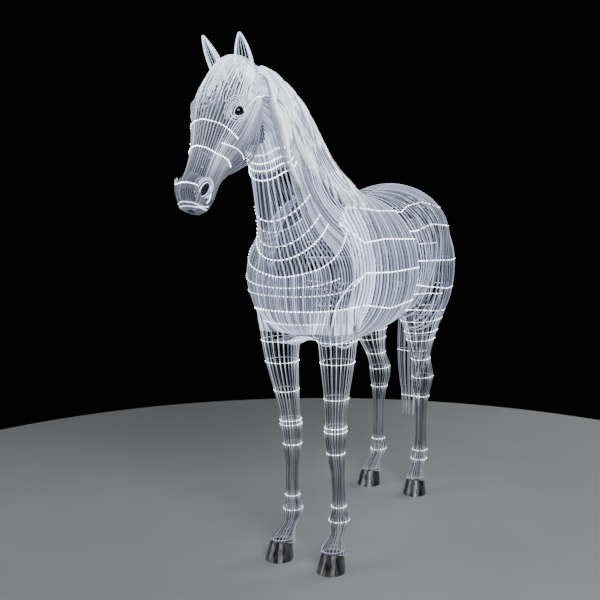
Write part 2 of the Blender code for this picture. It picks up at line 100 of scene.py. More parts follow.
def wall_radii(centres, across, upward, angles, farthest):
    """How far the skin is from each slice's centre along each angle.

    A slice plane cuts the skin's triangles into straight pieces. The ray at an angle is solved against
    every piece, distance = (start x piece) / (ray x piece), and the nearest one ahead is kept.
    """
    rays = np.stack((np.cos(angles), np.sin(angles)), -1)
    rows = []
    for centre, a, u in zip(centres, across, upward):
        height = (SKIN - centre) @ np.cross(a, u)
        above = height > 0
        hit = above.any(1) & ~above.all(1)
        triangles, height, above = SKIN[hit], height[hit], above[hit]
        lone = np.where(above.sum(1) == 1, above.argmax(1), (~above).argmax(1))
        order = (lone[:, None] + np.arange(3)) % 3
        corner = np.take_along_axis(triangles, order[..., None], 1) - centre
        height = np.take_along_axis(height, order, 1)
        share = height[:, :1] / (height[:, :1] - height[:, 1:])
        ends = corner[:, :1] + (corner[:, 1:] - corner[:, :1]) * share[..., None]
        flat = np.stack((ends @ a, ends @ u), -1)
        start, piece = flat[:, 0], flat[:, 1] - flat[:, 0]
        turn = rays[:, None, 0] * piece[:, 1] - rays[:, None, 1] * piece[:, 0]
        turn = np.where(np.abs(turn) < 1e-9, 1e-9, turn)
        away = (start[:, 0] * piece[:, 1] - start[:, 1] * piece[:, 0]) / turn
        along = (start[:, 0] * rays[:, None, 1] - start[:, 1] * rays[:, None, 0]) / turn
        ahead = (along > -1e-4) & (along < 1.0001) & (away > 0.2)
        rows.append(np.where(ahead, away, np.inf).min(1))
    return np.minimum(np.array(rows), farthest)


def soften(grid, times, closed):
    """Each value moves to half of itself plus a quarter of each neighbour, along both ways of the grid."""
    for _ in range(times):
        sides = np.roll(grid, 1, 1), np.roll(grid, -1, 1)
        if not closed:
            sides = (
                np.concatenate((grid[:, :1], grid[:, :-1]), 1),
                np.concatenate((grid[:, 1:], grid[:, -1:]), 1),
            )
        grid = grid / 2 + (sides[0] + sides[1]) / 4
        before = np.concatenate((grid[:1], grid[:-1]))
        after = np.concatenate((grid[1:], grid[-1:]))
        grid = grid / 2 + (before + after) / 4
    return grid


def wall(centres, across, upward, degrees, farthest=60.0, times=2, closed=True):
    """The skin as a grid, a row for each slice and a column for each angle: centre + way x distance. The
    way goes with it, and is across x cosine + upward x sine of the angle."""
    angles = np.radians(degrees)
    centres = np.asarray(centres, float)
    across, upward = (np.broadcast_to(np.asarray(way, float), centres.shape) for way in (across, upward))
    radii = soften(wall_radii(centres, across, upward, angles, farthest), times, closed)
    out = np.cos(angles)[None, :, None] * across[:, None] + np.sin(angles)[None, :, None] * upward[:, None]
    return centres[:, None] + out * radii[..., None], out


def unit(ways):
    """Each way divided by its own length."""
    return ways / np.maximum(np.linalg.norm(ways, axis=-1, keepdims=True), 1e-9)


def tubes(curves, out, radius, closed=False, sides=STRAND_SIDES, tone=0.5, inner=0.05):
    """Round rods along the curves, given as rods x points x 3: rings of the radius in the plane across the
    curve, turned so that their first corner points out. Open rods get a flat end at each side. The shade is
    the tone times a share of painted light that falls from 1 on the outer side to the inner share on the
    hollow side, so each rod is painted bright outside and painted dark, as painted shade, on its hollow side."""
    curves, out = np.broadcast_arrays(np.asarray(curves, float), np.asarray(out, float))
    count, length = curves.shape[:2]
    if closed:
        ahead = np.roll(curves, -1, 1) - np.roll(curves, 1, 1)
    else:
        ahead = np.gradient(curves, axis=1)
    ahead = unit(ahead)
    side = unit(np.cross(ahead, out))
    outward = np.cross(side, ahead)
    turn = np.linspace(0, 2 * np.pi, sides, endpoint=False)[:, None]
    ring = np.cos(turn) * outward[:, :, None] + np.sin(turn) * side[:, :, None]
    size = np.broadcast_to(np.asarray(radius, float), (count, length))[..., None, None]
    points = (curves[:, :, None] + ring * size).reshape(-1, 3)
    index = np.arange(count * length * sides).reshape(count, length, sides)
    start = index if closed else index[:, :-1]
    end = np.roll(index, -1, 1) if closed else index[:, 1:]
    quads = np.stack((start, np.roll(start, -1, 2), np.roll(end, -1, 2), end), -1).reshape(-1, 4)
    ends = np.empty((0, sides), int)
    if not closed:
        ends = np.concatenate((index[:, 0, ::-1], index[:, -1]))
    shade = np.broadcast_to(np.asarray(tone, float), (count, length))[..., None]
    # Painted light and shade: each rod is painted bright on its outer side and dark on its hollow side.
    painted_facing_light = inner + (1 - inner) * (0.5 + 0.5 * np.cos(turn[:, 0])) ** 1.3
    return points, [quads, ends], (shade * painted_facing_light).reshape(-1)


def put_mesh(name, parts):
    """One object from several sets of points, faces and shades. Its points are in metres, centimetres / 100
    + the drawing's origin, and none leaves the box of the solid figure."""
    points = np.concatenate([p[0] for p in parts])
    shade = np.concatenate([p[2] for p in parts])
    offsets = np.cumsum([0] + [len(p[0]) for p in parts[:-1]])
    blocks = [faces + offset for p, offset in zip(parts, offsets) for faces in p[1] if len(faces)]
    corners = np.concatenate([b.ravel() for b in blocks]).astype(np.int32)
    sizes = np.concatenate([np.full(len(b), b.shape[1]) for b in blocks])
    mesh = bpy.data.meshes.new(name)
    mesh.vertices.add(len(points))
    placed = np.clip(points / 100 + ORIGIN, *cad_box)
    mesh.vertices.foreach_set("co", placed.astype(np.float32).ravel())
    mesh.loops.add(len(corners))
    mesh.loops.foreach_set("vertex_index", corners)
    mesh.polygons.add(len(sizes))
    mesh.polygons.foreach_set("loop_start", np.concatenate(([0], np.cumsum(sizes)[:-1])).astype(np.int32))
    mesh.polygons.foreach_set("use_smooth", np.ones(len(sizes), bool))
    mesh.update(calc_edges=True)
    mesh.attributes.new("shade", "FLOAT", "POINT").data.foreach_set("value", shade.astype(np.float32))
    made = bpy.data.objects.new(name, mesh)
    bpy.context.scene.collection.objects.link(made)
    return made


def blank(name):
    """A new material, with its nodes, links and shader."""
    made = bpy.data.materials.new(name)
    made.use_nodes = True
    tree = made.node_tree
    return made, tree.nodes, tree.links, tree.nodes["Principled BSDF"]


def give(node, values):
    """Sets a node's sockets, each by its name."""
    for socket, value in values.items():
        node.inputs[socket].default_value = value


def cloud_noise(nodes, links, scale, detail=2.0, place=None):
    """A cloud noise from 0 to 1, on the piece's own coordinates or on another node's."""
    if place is None:
        place = nodes.new("ShaderNodeTexCoord").outputs["Object"]
    cloud = nodes.new("ShaderNodeTexNoise")
    give(cloud, {"Scale": scale, "Detail": detail})
    links.new(place, cloud.inputs["Vector"])
    return cloud.outputs["Fac"]


def worked(nodes, links, operation, one, other):
    """One output added to or multiplied by another output or a number."""
    made = nodes.new("ShaderNodeMath")
    made.operation = operation
    links.new(one, made.inputs[0])
    if isinstance(other, float):
        made.inputs[1].default_value = other
    else:
        links.new(other, made.inputs[1])
    return made.outputs[0]


def tinted(nodes, links, share, first, last):
    """A colour blended evenly between two, each given as the share that it starts or ends at and a tint."""
    made = nodes.new("ShaderNodeValToRGB")
    for element, (position, tint) in zip(made.color_ramp.elements, (first, last)):
        element.position = position
        element.color = (*tint, 1)
    links.new(share, made.inputs[0])
    return made.outputs[0]


def rippled(nodes, links, shader, height, strength, distance):
    """Tilts the shader's surface by the slope of a height."""
    ripple = nodes.new("ShaderNodeBump")
    give(ripple, {"Strength": strength, "Distance": distance})
    links.new(height, ripple.inputs["Height"])
    links.new(ripple.outputs[0], shader.inputs["Normal"])


def kept_shade(nodes):
    """The shade that each mesh keeps at its points: each rod's own tone times its painted light and shade."""
    kept = nodes.new("ShaderNodeAttribute")
    kept.attribute_name = "shade"
    return kept.outputs["Fac"]


def resin(name, pale, deep, glow, clouding):
    """Milky cast resin: (cloud noise + 0.75) x the shade kept with each rod, which holds its painted light
    and shade, picks between a deep and a pale tint, the same share x the glow paints a faint glow into it
    from within, and a fine noise ripples it."""
    made, nodes, links, shader = blank(name)
    give(shader, {"Roughness": 0.24, "IOR": 1.5, "Coat Weight": 0.4, "Coat Roughness": 0.08})
    cloud = cloud_noise(nodes, links, clouding, 3.0)
    lifted = worked(nodes, links, "ADD", cloud, 0.75)
    mixed = worked(nodes, links, "MULTIPLY", lifted, kept_shade(nodes))
    colour = tinted(nodes, links, mixed, (0.0, deep), (0.95, pale))
    links.new(colour, shader.inputs["Base Color"])
    links.new(colour, shader.inputs["Emission Color"])
    links.new(worked(nodes, links, "MULTIPLY", mixed, glow), shader.inputs["Emission Strength"])
    rippled(nodes, links, shader, cloud_noise(nodes, links, 260.0), 0.12, 0.002)
    return made


def strand_piece(name, parts, finish):
    """Puts strands in the scene as one piece that rides the figure and stands for its smooth solid."""
    made = put_mesh(name, parts)
    made.data.materials.append(finish)
    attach(made, "root")
    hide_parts("horse_figure")
    return made


def shades(count, low, high, seed):
    """One shade for each rod, spread evenly at random between two bounds."""
    return np.random.default_rng(seed).uniform(low, high, (count, 1))


def resampled(curve, at):
    """A curve at point numbers, whole or not: each measure is blended from the points on either side."""
    return np.stack([np.interp(at, np.arange(len(curve)), measure) for measure in curve.T], -1)


STRAND_RESIN = resin("milky resin strands", (0.70, 0.79, 1.0), (0.010, 0.015, 0.032), 2.0, 5.0)


def in_the_ribs(at):
    """Slice centres at the height of the ribs' middle, at each place along the horse."""
    return np.stack((0 * at, at, 0 * at + RIB_HEIGHT), -1)


hoop_at = np.arange(HOOPS_START, HOOPS_END, HOOP_STEP / 2)
hoop_degrees = np.arange(0, 360, 360 / HOOP_POINTS)
hoop_centres = in_the_ribs(hoop_at)
ribs, ribs_out = wall(hoop_centres, LEFT, UP, hoop_degrees, farthest=40.0)
main_hoop = np.arange(len(hoop_at)) % 2 == 0
full_hoop = hoop_at >= FULL_HOOPS_START
rib_rods = main_hoop & full_hoop
fine_rods = ~main_hoop & full_hoop
barrel = [
    tubes(ribs[rib_rods] - ribs_out[rib_rods] * HOOP_RADIUS, ribs_out[rib_rods], HOOP_RADIUS, True,
          tone=shades(rib_rods.sum(), 0.36, 0.74, 1), inner=0.1),
    tubes(ribs[fine_rods] - ribs_out[fine_rods] * FINE_HOOP_DEPTH, ribs_out[fine_rods], FINE_HOOP_RADIUS,
          True, sides=4, tone=shades(fine_rods.sum(), 0.28, 0.54, 2)),
]


def flank_arcs(side, at, depth, highest, lowest):
    """The part of each hoop on one flank that lies between two heights, as rods from above to below."""
    arcs = []
    degrees = np.linspace(88, -90, 76)
    rows, out = wall(
        in_the_ribs(at), LEFT, UP, degrees if side > 0 else 180 - degrees, farthest=44.0, closed=False
    )
    rows = rows - out * depth
    for row, top, low in zip(rows, 0 * at + highest, 0 * at + lowest):
        kept = np.flatnonzero((row[:, 2] < top) & (row[:, 2] > low))
        arcs.append(resampled(row, np.linspace(kept[0], kept[-1], 40)))
    return np.array(arcs)


def flank_rods(arcs, radius, tone, inner):
    """Rods along the arcs. Their way out is level with the slice, from the ribs' middle."""
    return tubes(arcs, arcs * [1, 0, 1] - [0, 0, RIB_HEIGHT], radius, tone=tone, inner=inner)


hip_at = np.array(HIP_HOOPS)
for side in (1, -1):
    for chosen, radius, depth in (
        (main_hoop & ~full_hoop, HOOP_RADIUS, HOOP_RADIUS),
        (~main_hoop & ~full_hoop, FINE_HOOP_RADIUS, FINE_HOOP_DEPTH),
    ):
        at = hoop_at[chosen]
        top = SHOULDER_TOP + (at - HOOPS_START) * SHOULDER_RISE / SHOULDER_RUN
        arcs = flank_arcs(side, at, depth, top, np.where(at > BEHIND_FORELEG, 0, ELBOW_HEIGHT))
        barrel.append(flank_rods(arcs, radius, shades(len(arcs), 0.7, 1.0, 3), 0.2))
    arcs = flank_arcs(side, hip_at, HIP_DEPTH, np.inf, np.where(hip_at < AHEAD_OF_THIGH, 0, THIGH_TOP))
    barrel.append(flank_rods(arcs, HIP_RADIUS, shades(len(arcs), 0.55, 0.8, 9), 0.05))

keel = (hoop_at > KEEL_START) & ~full_hoop
keel_degrees = np.linspace(-112, -68, 16)
keel_rows, keel_out = wall(hoop_centres[keel], LEFT, UP, keel_degrees, farthest=37.0, closed=False)
barrel.append(tubes(keel_rows - keel_out * KEEL_DEPTH, keel_out, KEEL_RADIUS, tone=0.85))
strand_piece("barrel_hoops", barrel, STRAND_RESIN)

# THE NECK AND CHEST. One sleeve of upright strands hangs from the throat, spreads over the chest and
# ends above the forelegs. More strands start and stop between them where the sleeve has room. They are
# cast in the barrel's resin and fused to it at the shoulder.

# Slice rows are front y, front z, lean in degrees, and how far back the slice's centre lies.
NECK_SLICES = [
    (-100.0, 179.0, 108, 10.0),
    (-96.0, 175.0, 98, 12.0),
    (-94.2, 173.0, 80, 12.5),
    (-92.4, 169.5, 62, 12.5),
    (-90.4, 164.8, 47, 13.0),
    (-88.4, 156.0, 43, 14.5),
    (-85.0, 144.7, 40, 17.0),
    (-81.5, 134.7, 42, 20.0),
    (-79.7, 129.5, 41, 22.0),
    (-76.7, 122.7, 39, 24.0),
]
CHEST_SLICES = [
    (-76.2, 118.4, 21, 24.0),
    (-75.8, 115.0, 7, 23.0),
    (-74.4, 108.9, 1, 22.0),
    (-70.6, 103.2, 0, 19.0),
    (-67.0, 98.5, 0, 16.0),
]
SLEEVE_RADIUS = 0.36
SLEEVE_STEP = 4.3
SLEEVE_TURN = 108
SLICES_BETWEEN = 5
THROAT_TURNS, THROAT_STARTS = (12, 34), (2.2, 0)


def leaning(slices):
    """Centres and ways ahead of leaning slices. Ahead is forward x the cosine of the lean and down x its
    sine, and the centre lies back from the front along it."""
    lean = np.radians(slices[:, 2])
    ahead = np.stack((0 * lean, -np.cos(lean), -np.sin(lean)), -1)
    front_at = np.stack((0 * lean, slices[:, 0], slices[:, 1]), -1)
    return front_at - ahead * slices[:, 3:], ahead


neck_degrees = np.arange(-180, 180, SLEEVE_STEP / 2)[: int(360 / SLEEVE_STEP) * 2]
sleeve_slices = NECK_SLICES + CHEST_SLICES
centre, ahead = leaning(through(sleeve_slices, (len(sleeve_slices) - 1) * SLICES_BETWEEN + 1))
neck_count = (len(NECK_SLICES) - 1) * SLICES_BETWEEN + 1
neck, neck_out = wall(centre[:neck_count], ahead[:neck_count], LEFT, neck_degrees, farthest=34.0)
front = np.abs(neck_degrees) <= SLEEVE_TURN
chest, chest_out = wall(centre, ahead, LEFT, neck_degrees[front], farthest=30.0, closed=False)
back_strand = ~front & (np.arange(len(neck_degrees)) % 2 == 0)
rods = (neck - neck_out * SLEEVE_RADIUS)[:, back_strand].transpose(1, 0, 2)
out = neck_out[:, back_strand].transpose(1, 0, 2)
sleeve_parts = [tubes(rods, out, SLEEVE_RADIUS, tone=shades(len(rods), 0.7, 0.95, 4))]
turned = np.abs(neck_degrees[front])


def hung(columns, first, last, radius):
    """Strands of the sleeve between two slices, sunk by their radius, with the way out of each. The jaw
    covers the throat, so those in front start past the second slice, and those beside it at the first."""
    found = []
    for column in columns:
        start = max(first, np.interp(turned[column], THROAT_TURNS, THROAT_STARTS))
        at = np.linspace(start * SLICES_BETWEEN, last * SLICES_BETWEEN, 6 + int(5 * (last - first)))
        found.append([resampled(grid[:, column], at) for grid in (chest, chest_out)])
    rods, out = np.array(found).transpose(1, 0, 2, 3)
    return rods - out * radius, out


columns = np.arange(front.sum())
rods, out = hung(columns[columns % 4 == 0], 0, len(sleeve_slices) - 1, SLEEVE_RADIUS)
sleeve_parts.append(tubes(rods, out, SLEEVE_RADIUS, tone=shades(len(rods), 0.35, 0.7, 5)))

# Which strand of every four, its first and last slice, its nearest and widest angle, and its radius.
LATE_STRANDS = [
    (2, 0, 4.4, 0, 108, SLEEVE_RADIUS), (2, 4.4, 6.4, 46, 108, SLEEVE_RADIUS),
    (2, 6.4, 13, 0, 90, SLEEVE_RADIUS), (1, 2, 4.0, 0, 100, 0.2), (3, 2, 4.0, 0, 100, 0.2),
    (1, 4.0, 9.0, 62, 108, 0.24), (3, 4.0, 9.0, 62, 108, 0.24), (1, 9, 12, 0, 50, 0.2),
    (3, 9, 12, 0, 50, 0.2), (1, 12, 14, 0, 86, 0.34), (3, 12, 14, 0, 86, 0.34), (2, 13, 14, 0, 86, 0.4),
]
for offset, first, last, nearest, widest, radius in LATE_STRANDS:
    late = columns[(columns % 4 == offset) & (turned >= nearest) & (turned < widest)]
    rods, out = hung(late, first, last, SLEEVE_RADIUS)
    tone = shades(len(rods), 0.3, 0.65, 6 + offset) * (1.5 if first > 11 else 1)
    sleeve_parts.append(tubes(rods, out, radius, tone=tone))

# A bright strand bends from the point of the shoulder to the elbow, with a dark strand behind it as a painted
# shadow.
ELBOW_ARC = [
    (24.0, -52.6, 121.6), (22.8, -58.8, 119.4), (20.9, -63.2, 115.3), (18.3, -64.2, 110.1),
    (16.6, -63.2, 104.7), (15.6, -61.0, 99.5),
]
ELBOW_RADIUS, ELBOW_PAINTED_SHADOW_RADIUS = 0.3, 0.36
for side in (1, -1):
    arc = through(np.array(ELBOW_ARC) * [side, 1, 1], 30)[None]
    out = [side * 0.7, -0.7, 0]
    behind = [-side * 0.62, -0.38, 0.1]
    sleeve_parts.append(tubes(arc, out, ELBOW_RADIUS, tone=1.0, inner=0.6))
    # The dark strand is a painted shadow behind the bright one.
    sleeve_parts.append(tubes(arc + behind, out, ELBOW_PAINTED_SHADOW_RADIUS, tone=0.02))
strand_piece("neck_and_chest_strands", sleeve_parts, STRAND_RESIN)

# THE RUMP. Strands leave the spine behind the loin and fan out over the croup, then hang down the
# haunch to the top of the hind leg. The fan starts square to the spine and ends beside the tail. It is
# the barrel's resin too, held together by the lit bands and by three rods along the spine.
RUMP_STRANDS = 36
RUMP_RADIUS = 0.36
RUMP_STARTS, RUMP_ENDS = 7.0, 62.0
RUMP_TURNS = 16.0, 82.0
FAN_HEIGHT = 124.0
SPINE_RADIUS = 0.4


def rump_fan(side):
    """Upright slices fanned about the spine: slice k starts further back and turns further round. Each
    strand runs from the spine down the outer wall to the top of the thigh."""
    share = np.arange(RUMP_STRANDS) / (RUMP_STRANDS - 1)
    turn = np.radians(RUMP_TURNS[0] + (RUMP_TURNS[1] - RUMP_TURNS[0]) * share)
    way = np.stack((side * np.cos(turn), np.sin(turn), 0 * turn), -1)
    start_y = RUMP_STARTS + (RUMP_ENDS - RUMP_STARTS) * share**0.9
    start = np.stack((0 * share, start_y, 0 * share + FAN_HEIGHT), -1)
    degrees = np.linspace(90, -62, 64)
    rows, _ = wall(start, way, UP, degrees, farthest=44.0, closed=False)
    rods = []
    for row in rows:
        low = np.flatnonzero(row[:, 2] < THIGH_TOP)
        last = low[0] if len(low) else len(row) - 1
        rods.append(resampled(row, np.linspace(1, last, 48)))
    return np.array(rods), (way * 0.8 + [0, 0, 0.5])[:, None]


rump_parts = []
rump_rows = {}
for side in (1, -1):
    rods, out = rump_fan(side)
    rump_rows[side] = rods
    rump_parts.append(tubes(rods, out, RUMP_RADIUS, tone=shades(len(rods), 0.4, 0.8, 11)))
spine_at = np.linspace(HOOPS_END - 2, RUMP_ENDS + 5, 24)
spine, _ = wall(in_the_ribs(spine_at), LEFT, UP, np.array([86.0, 90.0, 94.0]), closed=False)
spine = spine.transpose(1, 0, 2) - np.array(UP) * SPINE_RADIUS
rump_parts.append(tubes(spine, UP, SPINE_RADIUS, tone=0.7))
strand_piece("rump_strands", rump_parts, STRAND_RESIN)

# THE LEGS. Each leg is a sleeve of upright resin strands tied by lit bands at the forearm, knee, cannon
# and fetlock, flared at the foot over the steel hoof. Its strands are thinner than the barrel's.

# Where the middle of the leg lies, as x, y and height.
FORE_MIDDLE = [
    (13.4, -52.0, 108.0), (13.3, -51.0, 96.0), (13.2, -50.9, 86.0), (12.9, -50.7, 76.0), (12.7, -50.7, 66.5),
    (12.7, -51.0, 59.5), (12.7, -51.2, 54.7), (12.8, -51.2, 50.0), (13.1, -51.0, 44.7), (13.5, -50.6, 39.0),
    (13.8, -50.4, 31.0), (13.8, -49.9, 23.5), (13.8, -49.5, 18.0), (14.0, -51.1, 13.8), (14.3, -54.7, 10.8),
    (14.7, -57.3, 8.8), (15.0, -58.5, 5.5),
]
HIND_MIDDLE = [
    (15.2, 49.0, 104.0), (15.2, 51.5, 99.0), (14.4, 53.2, 89.5), (13.2, 55.2, 79.3), (12.2, 58.8, 70.5),
    (11.7, 62.9, 64.0), (11.5, 64.2, 58.5), (11.4, 63.6, 52.3), (11.4, 62.9, 45.0), (11.4, 62.7, 35.0),
    (11.4, 62.7, 24.5), (10.9, 62.5, 18.8), (11.1, 60.4, 14.3), (11.5, 56.8, 11.1), (11.9, 54.3, 8.9),
    (12.2, 53.3, 5.5),
]

# How far the ties draw the sleeve in or let it out, as height and share.
FORE_GIRTHS = [
    (7.2, 1.06), (10, 0.98), (13.5, 0.78), (16, 0.94), (18.8, 1.12), (22, 1.0), (25, 1.05), (30, 1.0),
    (42, 0.93), (47.6, 0.78), (52, 0.84), (58, 1.04), (64, 1.0), (106, 1.0),
]
HIND_GIRTHS = [
    (7.2, 0.98), (13, 0.84), (17.5, 1.06), (24, 1.0), (49.6, 0.92), (60, 1.04), (66, 0.98), (71, 0.9),
    (80, 0.96), (98, 1.0),
]

# Each leg's middle, side, how far its foot stands out and back, its top, its widest reach and its girths.
LEGS = {
    "front_left": (FORE_MIDDLE, 1, 0.0, -0.5, 105.0, 11.5, FORE_GIRTHS),
    "front_right": (FORE_MIDDLE, -1, -4.3, 2.6, 105.0, 11.5, FORE_GIRTHS),
    "hind_left": (HIND_MIDDLE, 1, 0.0, -1.0, 98.0, 25.0, HIND_GIRTHS),
    "hind_right": (HIND_MIDDLE, -1, 3.2, 4.0, 98.0, 25.0, HIND_GIRTHS),
}
LEG_BANDS = {
    "front_left": [95.0, 85.9, 70.7, 58.6, 56.8, 47.6, 24.6, 18.6],
    "front_right": [93.9, 84.6, 72.0, 59.2, 57.4, 48.6, 25.5, 19.4],
    "hind_left": [92.3, 86.1, 81.5, 70.3, 60.1, 49.6, 20.9, 16.4],
    "hind_right": [92.0, 85.0, 80.0, 71.6, 62.6, 52.0, 22.9, 17.4],
}
LEG_STRANDS = 26
LEG_RADIUS, HEM_RADIUS = 0.21, 0.17
HEM_HEIGHT, HEM_RISE, HEM_FLARE = 7.2, 2.2, 0.35
FINE_SLICES_BELOW = 16
ELBOW_LEVEL, STANCE_FADE = 95, 55
NEAREST_MIDDLE = 0.8
# How far the painted glow about each lit band reaches, and the heights and shares of the painted light along
# the legs.
PAINTED_GLOW_REACH = 1.7
PAINTED_LIGHT_HEIGHTS, PAINTED_LIGHT_SHARES = [7, 16, 22, 45, 60, 75, 105], [0.8, 0.5, 0.36, 0.38, 0.5, 0.76, 1.15]
LEG_RESIN = resin("thin leg strands", (0.74, 0.79, 0.93), (0.010, 0.014, 0.022), 1.7, 7.0)


def smooth_step(share):
    """3 x share squared - 2 x share cubed, from 0 to 1 with level ends."""
    share = np.clip(share, 0, 1)
    return share * share * (3 - 2 * share)


def leg_wall(middle, side, outward, back, top, farthest, girths):
    """Level slices down one leg: the middle + the skin's offset from it x the girth. Its foot is moved out
    and back by the stance, which fades smoothly from the shin to nothing at the elbow, and no slice
    reaches over the horse's middle."""
    fine_from = FINE_SLICES_BELOW
    heights = np.concatenate((np.arange(top, fine_from, -1.6), np.arange(fine_from, HEM_HEIGHT - 0.01, -0.8)))
    rows = np.array(middle)[::-1]
    share = smooth_step((ELBOW_LEVEL - heights) / STANCE_FADE)
    x = side * (np.interp(heights, rows[:, 2], rows[:, 0]) + outward * share)
    y = np.interp(heights, rows[:, 2], rows[:, 1]) + back * share
    middles = np.stack((x, y, heights), -1)
    degrees = np.arange(LEG_STRANDS) * 360 / LEG_STRANDS
    grid, out = wall(middles, LEFT, (0, 1.0, 0), degrees, farthest=farthest, times=1)
    drawn = np.interp(heights, *np.array(girths, float).T)[:, None, None]
    grid = middles[:, None] + (grid - middles[:, None]) * drawn
    grid[..., 0] = side * np.maximum(side * grid[..., 0], NEAREST_MIDDLE)
    flare = HEM_FLARE * np.clip((HEM_HEIGHT + HEM_RISE - heights) / HEM_RISE, 0, 1) ** 2
    return grid + out * flare[:, None, None], out, heights


leg_walls = {}
for number, (leg, measures) in enumerate(LEGS.items()):
    grid, out, heights = leg_wall(*measures)
    leg_walls[leg] = grid, out, heights
    rods = (grid - out * LEG_RADIUS).transpose(1, 0, 2)
    # Painted light: the strands are painted lighter near each lit band and by height, darkest about the
    # cannon.
    painted_band_glow = np.exp(-(((heights[:, None] - LEG_BANDS[leg]) / PAINTED_GLOW_REACH) ** 2)).sum(1)
    painted_leg_light = np.interp(heights, PAINTED_LIGHT_HEIGHTS, PAINTED_LIGHT_SHARES) + 0.5 * painted_band_glow
    tone = shades(LEG_STRANDS, 0.35, 0.85, 20 + number) * painted_leg_light
    parts = [tubes(rods, out.transpose(1, 0, 2), LEG_RADIUS, tone=tone)]
    parts.append(tubes([grid[-1], grid[-3]], [out[-1], out[-3]], HEM_RADIUS, closed=True, tone=0.5))
    strand_piece(f"{leg}_leg_strands", parts, LEG_RESIN)

# THE HEAD. Strands leave the poll, run down the forehead and nose, and round the cheek along the jaw
# to the lips. They part round each eye and nostril, where closed rims of the same resin are fused on as
# lids and wings, and arcs over each eye make the brow.

# Slice rows are front y, front z, back y, back z and middle x.
HEAD_SLICES = [
    (-101.0, 201.5, -95.5, 181.0, -1.8),
    (-107.0, 201.8, -96.0, 172.5, -1.8),
    (-113.0, 200.0, -98.5, 168.6, -1.8),
    (-119.8, 195.0, -103.5, 164.5, -1.8),
    (-124.9, 188.4, -109.3, 162.2, -1.8),
    (-128.6, 181.0, -115.0, 160.8, -1.8),
    (-131.2, 174.0, -119.7, 158.8, -1.6),
    (-134.6, 167.4, -123.5, 156.0, -1.4),
    (-138.4, 162.0, -126.2, 152.6, -1.2),
    (-141.2, 158.6, -129.0, 149.8, -1.1),
    (-142.0, 154.2, -132.4, 148.0, -1.0),
    (-140.2, 151.4, -134.8, 148.3, -1.0),
    (-139.0, 149.7, -136.3, 148.6, -1.0),
]
HEAD_HALF_WIDTHS = [6.4, 8.0, 8.5, 9.0, 8.8, 7.6, 6.2, 5.6, 5.6, 5.8, 5.4, 4.2, 0.5]
HEAD_SLICES_BETWEEN = 6
HEAD_STRANDS = 30
HEAD_RADIUS = 0.25
HEAD_STEP = 3.0
HEAD_SKIN_OVER = 0.9
JAW_OPENS = [(0, 106), (1, 122), (2, 140), (3, 156), (4, 170), (5, 177), (6, 178), (12, 178)]
# Slice numbers and shares of the painted light on the head strands: lighter towards the poll, darker towards
# the muzzle.
PAINTED_HEAD_LIGHT_SLICES, PAINTED_HEAD_LIGHT_SHARES = [0, 3, 5, 7, 9, 12], [1.2, 1.1, 0.86, 0.74, 0.42, 0.4]
EYE_OPENING, NOSTRIL_OPENING = (3.5, 3.4), (3.5, 2.3)
HEAD_RESIN = resin("head strands", (0.74, 0.81, 1.0), (0.010, 0.015, 0.032), 2.0, 9.0)
NOSTRIL = {1: np.array([3.2, -136.6, 156.3]), -1: np.array([-6.4, -136.6, 156.3])}
EYE = {1: EYE_DRAWN_AT, -1: EYE_DRAWN_AT * [-1, 1, 1] + [-3.6, 0, 0]}

head_rows = through(HEAD_SLICES, (len(HEAD_SLICES) - 1) * HEAD_SLICES_BETWEEN + 1)
head_front = np.stack((head_rows[:, 4], head_rows[:, 0], head_rows[:, 1]), -1)
head_back = np.stack((head_rows[:, 4], head_rows[:, 2], head_rows[:, 3]), -1)
head_ahead = unit(head_front - head_back)
head_degrees = np.arange(-180, 180, HEAD_STEP)
head_half = np.linalg.norm(head_front - head_back, axis=1, keepdims=True) / 2 + HEAD_SKIN_OVER
head_width = through(np.array(HEAD_HALF_WIDTHS)[:, None], len(head_rows)) + HEAD_SKIN_OVER
head_turn = np.radians(head_degrees)
head_reach = 1 / np.hypot(np.cos(head_turn) / head_half, np.sin(head_turn) / head_width)
head_wall, head_out = wall(
    (head_front + head_back) / 2, head_ahead, LEFT, head_degrees, farthest=head_reach, times=1
)


def blended(grid, row, column):
    """A grid at any row and column, whole or not: the four values round it, each weighed by how near it
    is. The columns go round, so that the last is beside the first."""
    low = np.clip(row.astype(int), 0, len(grid) - 2)
    first = np.floor(column).astype(int)
    single = (1,) * (grid.ndim - 2)
    down = (row - low).reshape(row.shape + single)
    along = (column - first).reshape(row.shape + single)
    near, far = first % grid.shape[1], (first + 1) % grid.shape[1]
    upper, lower = (grid[at, near] * (1 - along) + grid[at, far] * along for at in (low, low + 1))
    return upper * (1 - down) + lower * down


def on_head_wall(row, degree):
    """A point of the head's skin and the way out of it there, at any row and angle of its grid."""
    return [blended(grid, row, (degree + 180) / HEAD_STEP) for grid in (head_wall, head_out)]


def parted(row, degree, place, half_long, half_wide):
    """Strands open round a place: those nearer than three half widths are pushed aside, most at the
    middle, by half wide x the square root of 1 - (distance along / half long) squared."""
    gap = np.linalg.norm(head_wall - place, axis=-1)
    at_row, at_column = np.unravel_index(gap.argmin(), gap.shape)
    down = np.linalg.norm(head_wall[at_row + 1, at_column] - head_wall[at_row - 1, at_column]) / 2
    before, after = head_wall[at_row, at_column - 1], head_wall[at_row, (at_column + 1) % len(head_degrees)]
    beside = np.linalg.norm(after - before) / (2 * HEAD_STEP)
    along = (row - at_row) * down / half_long
    across = (degree - head_degrees[at_column]) * beside
    opening = half_wide * np.sqrt(np.clip(1 - along**2, 0, 1))
    reach = 3 * half_wide
    near = np.clip(1 - np.abs(across) / reach, 0, 1)
    return degree + np.where(across < 0, -1, 1) * opening * near / beside


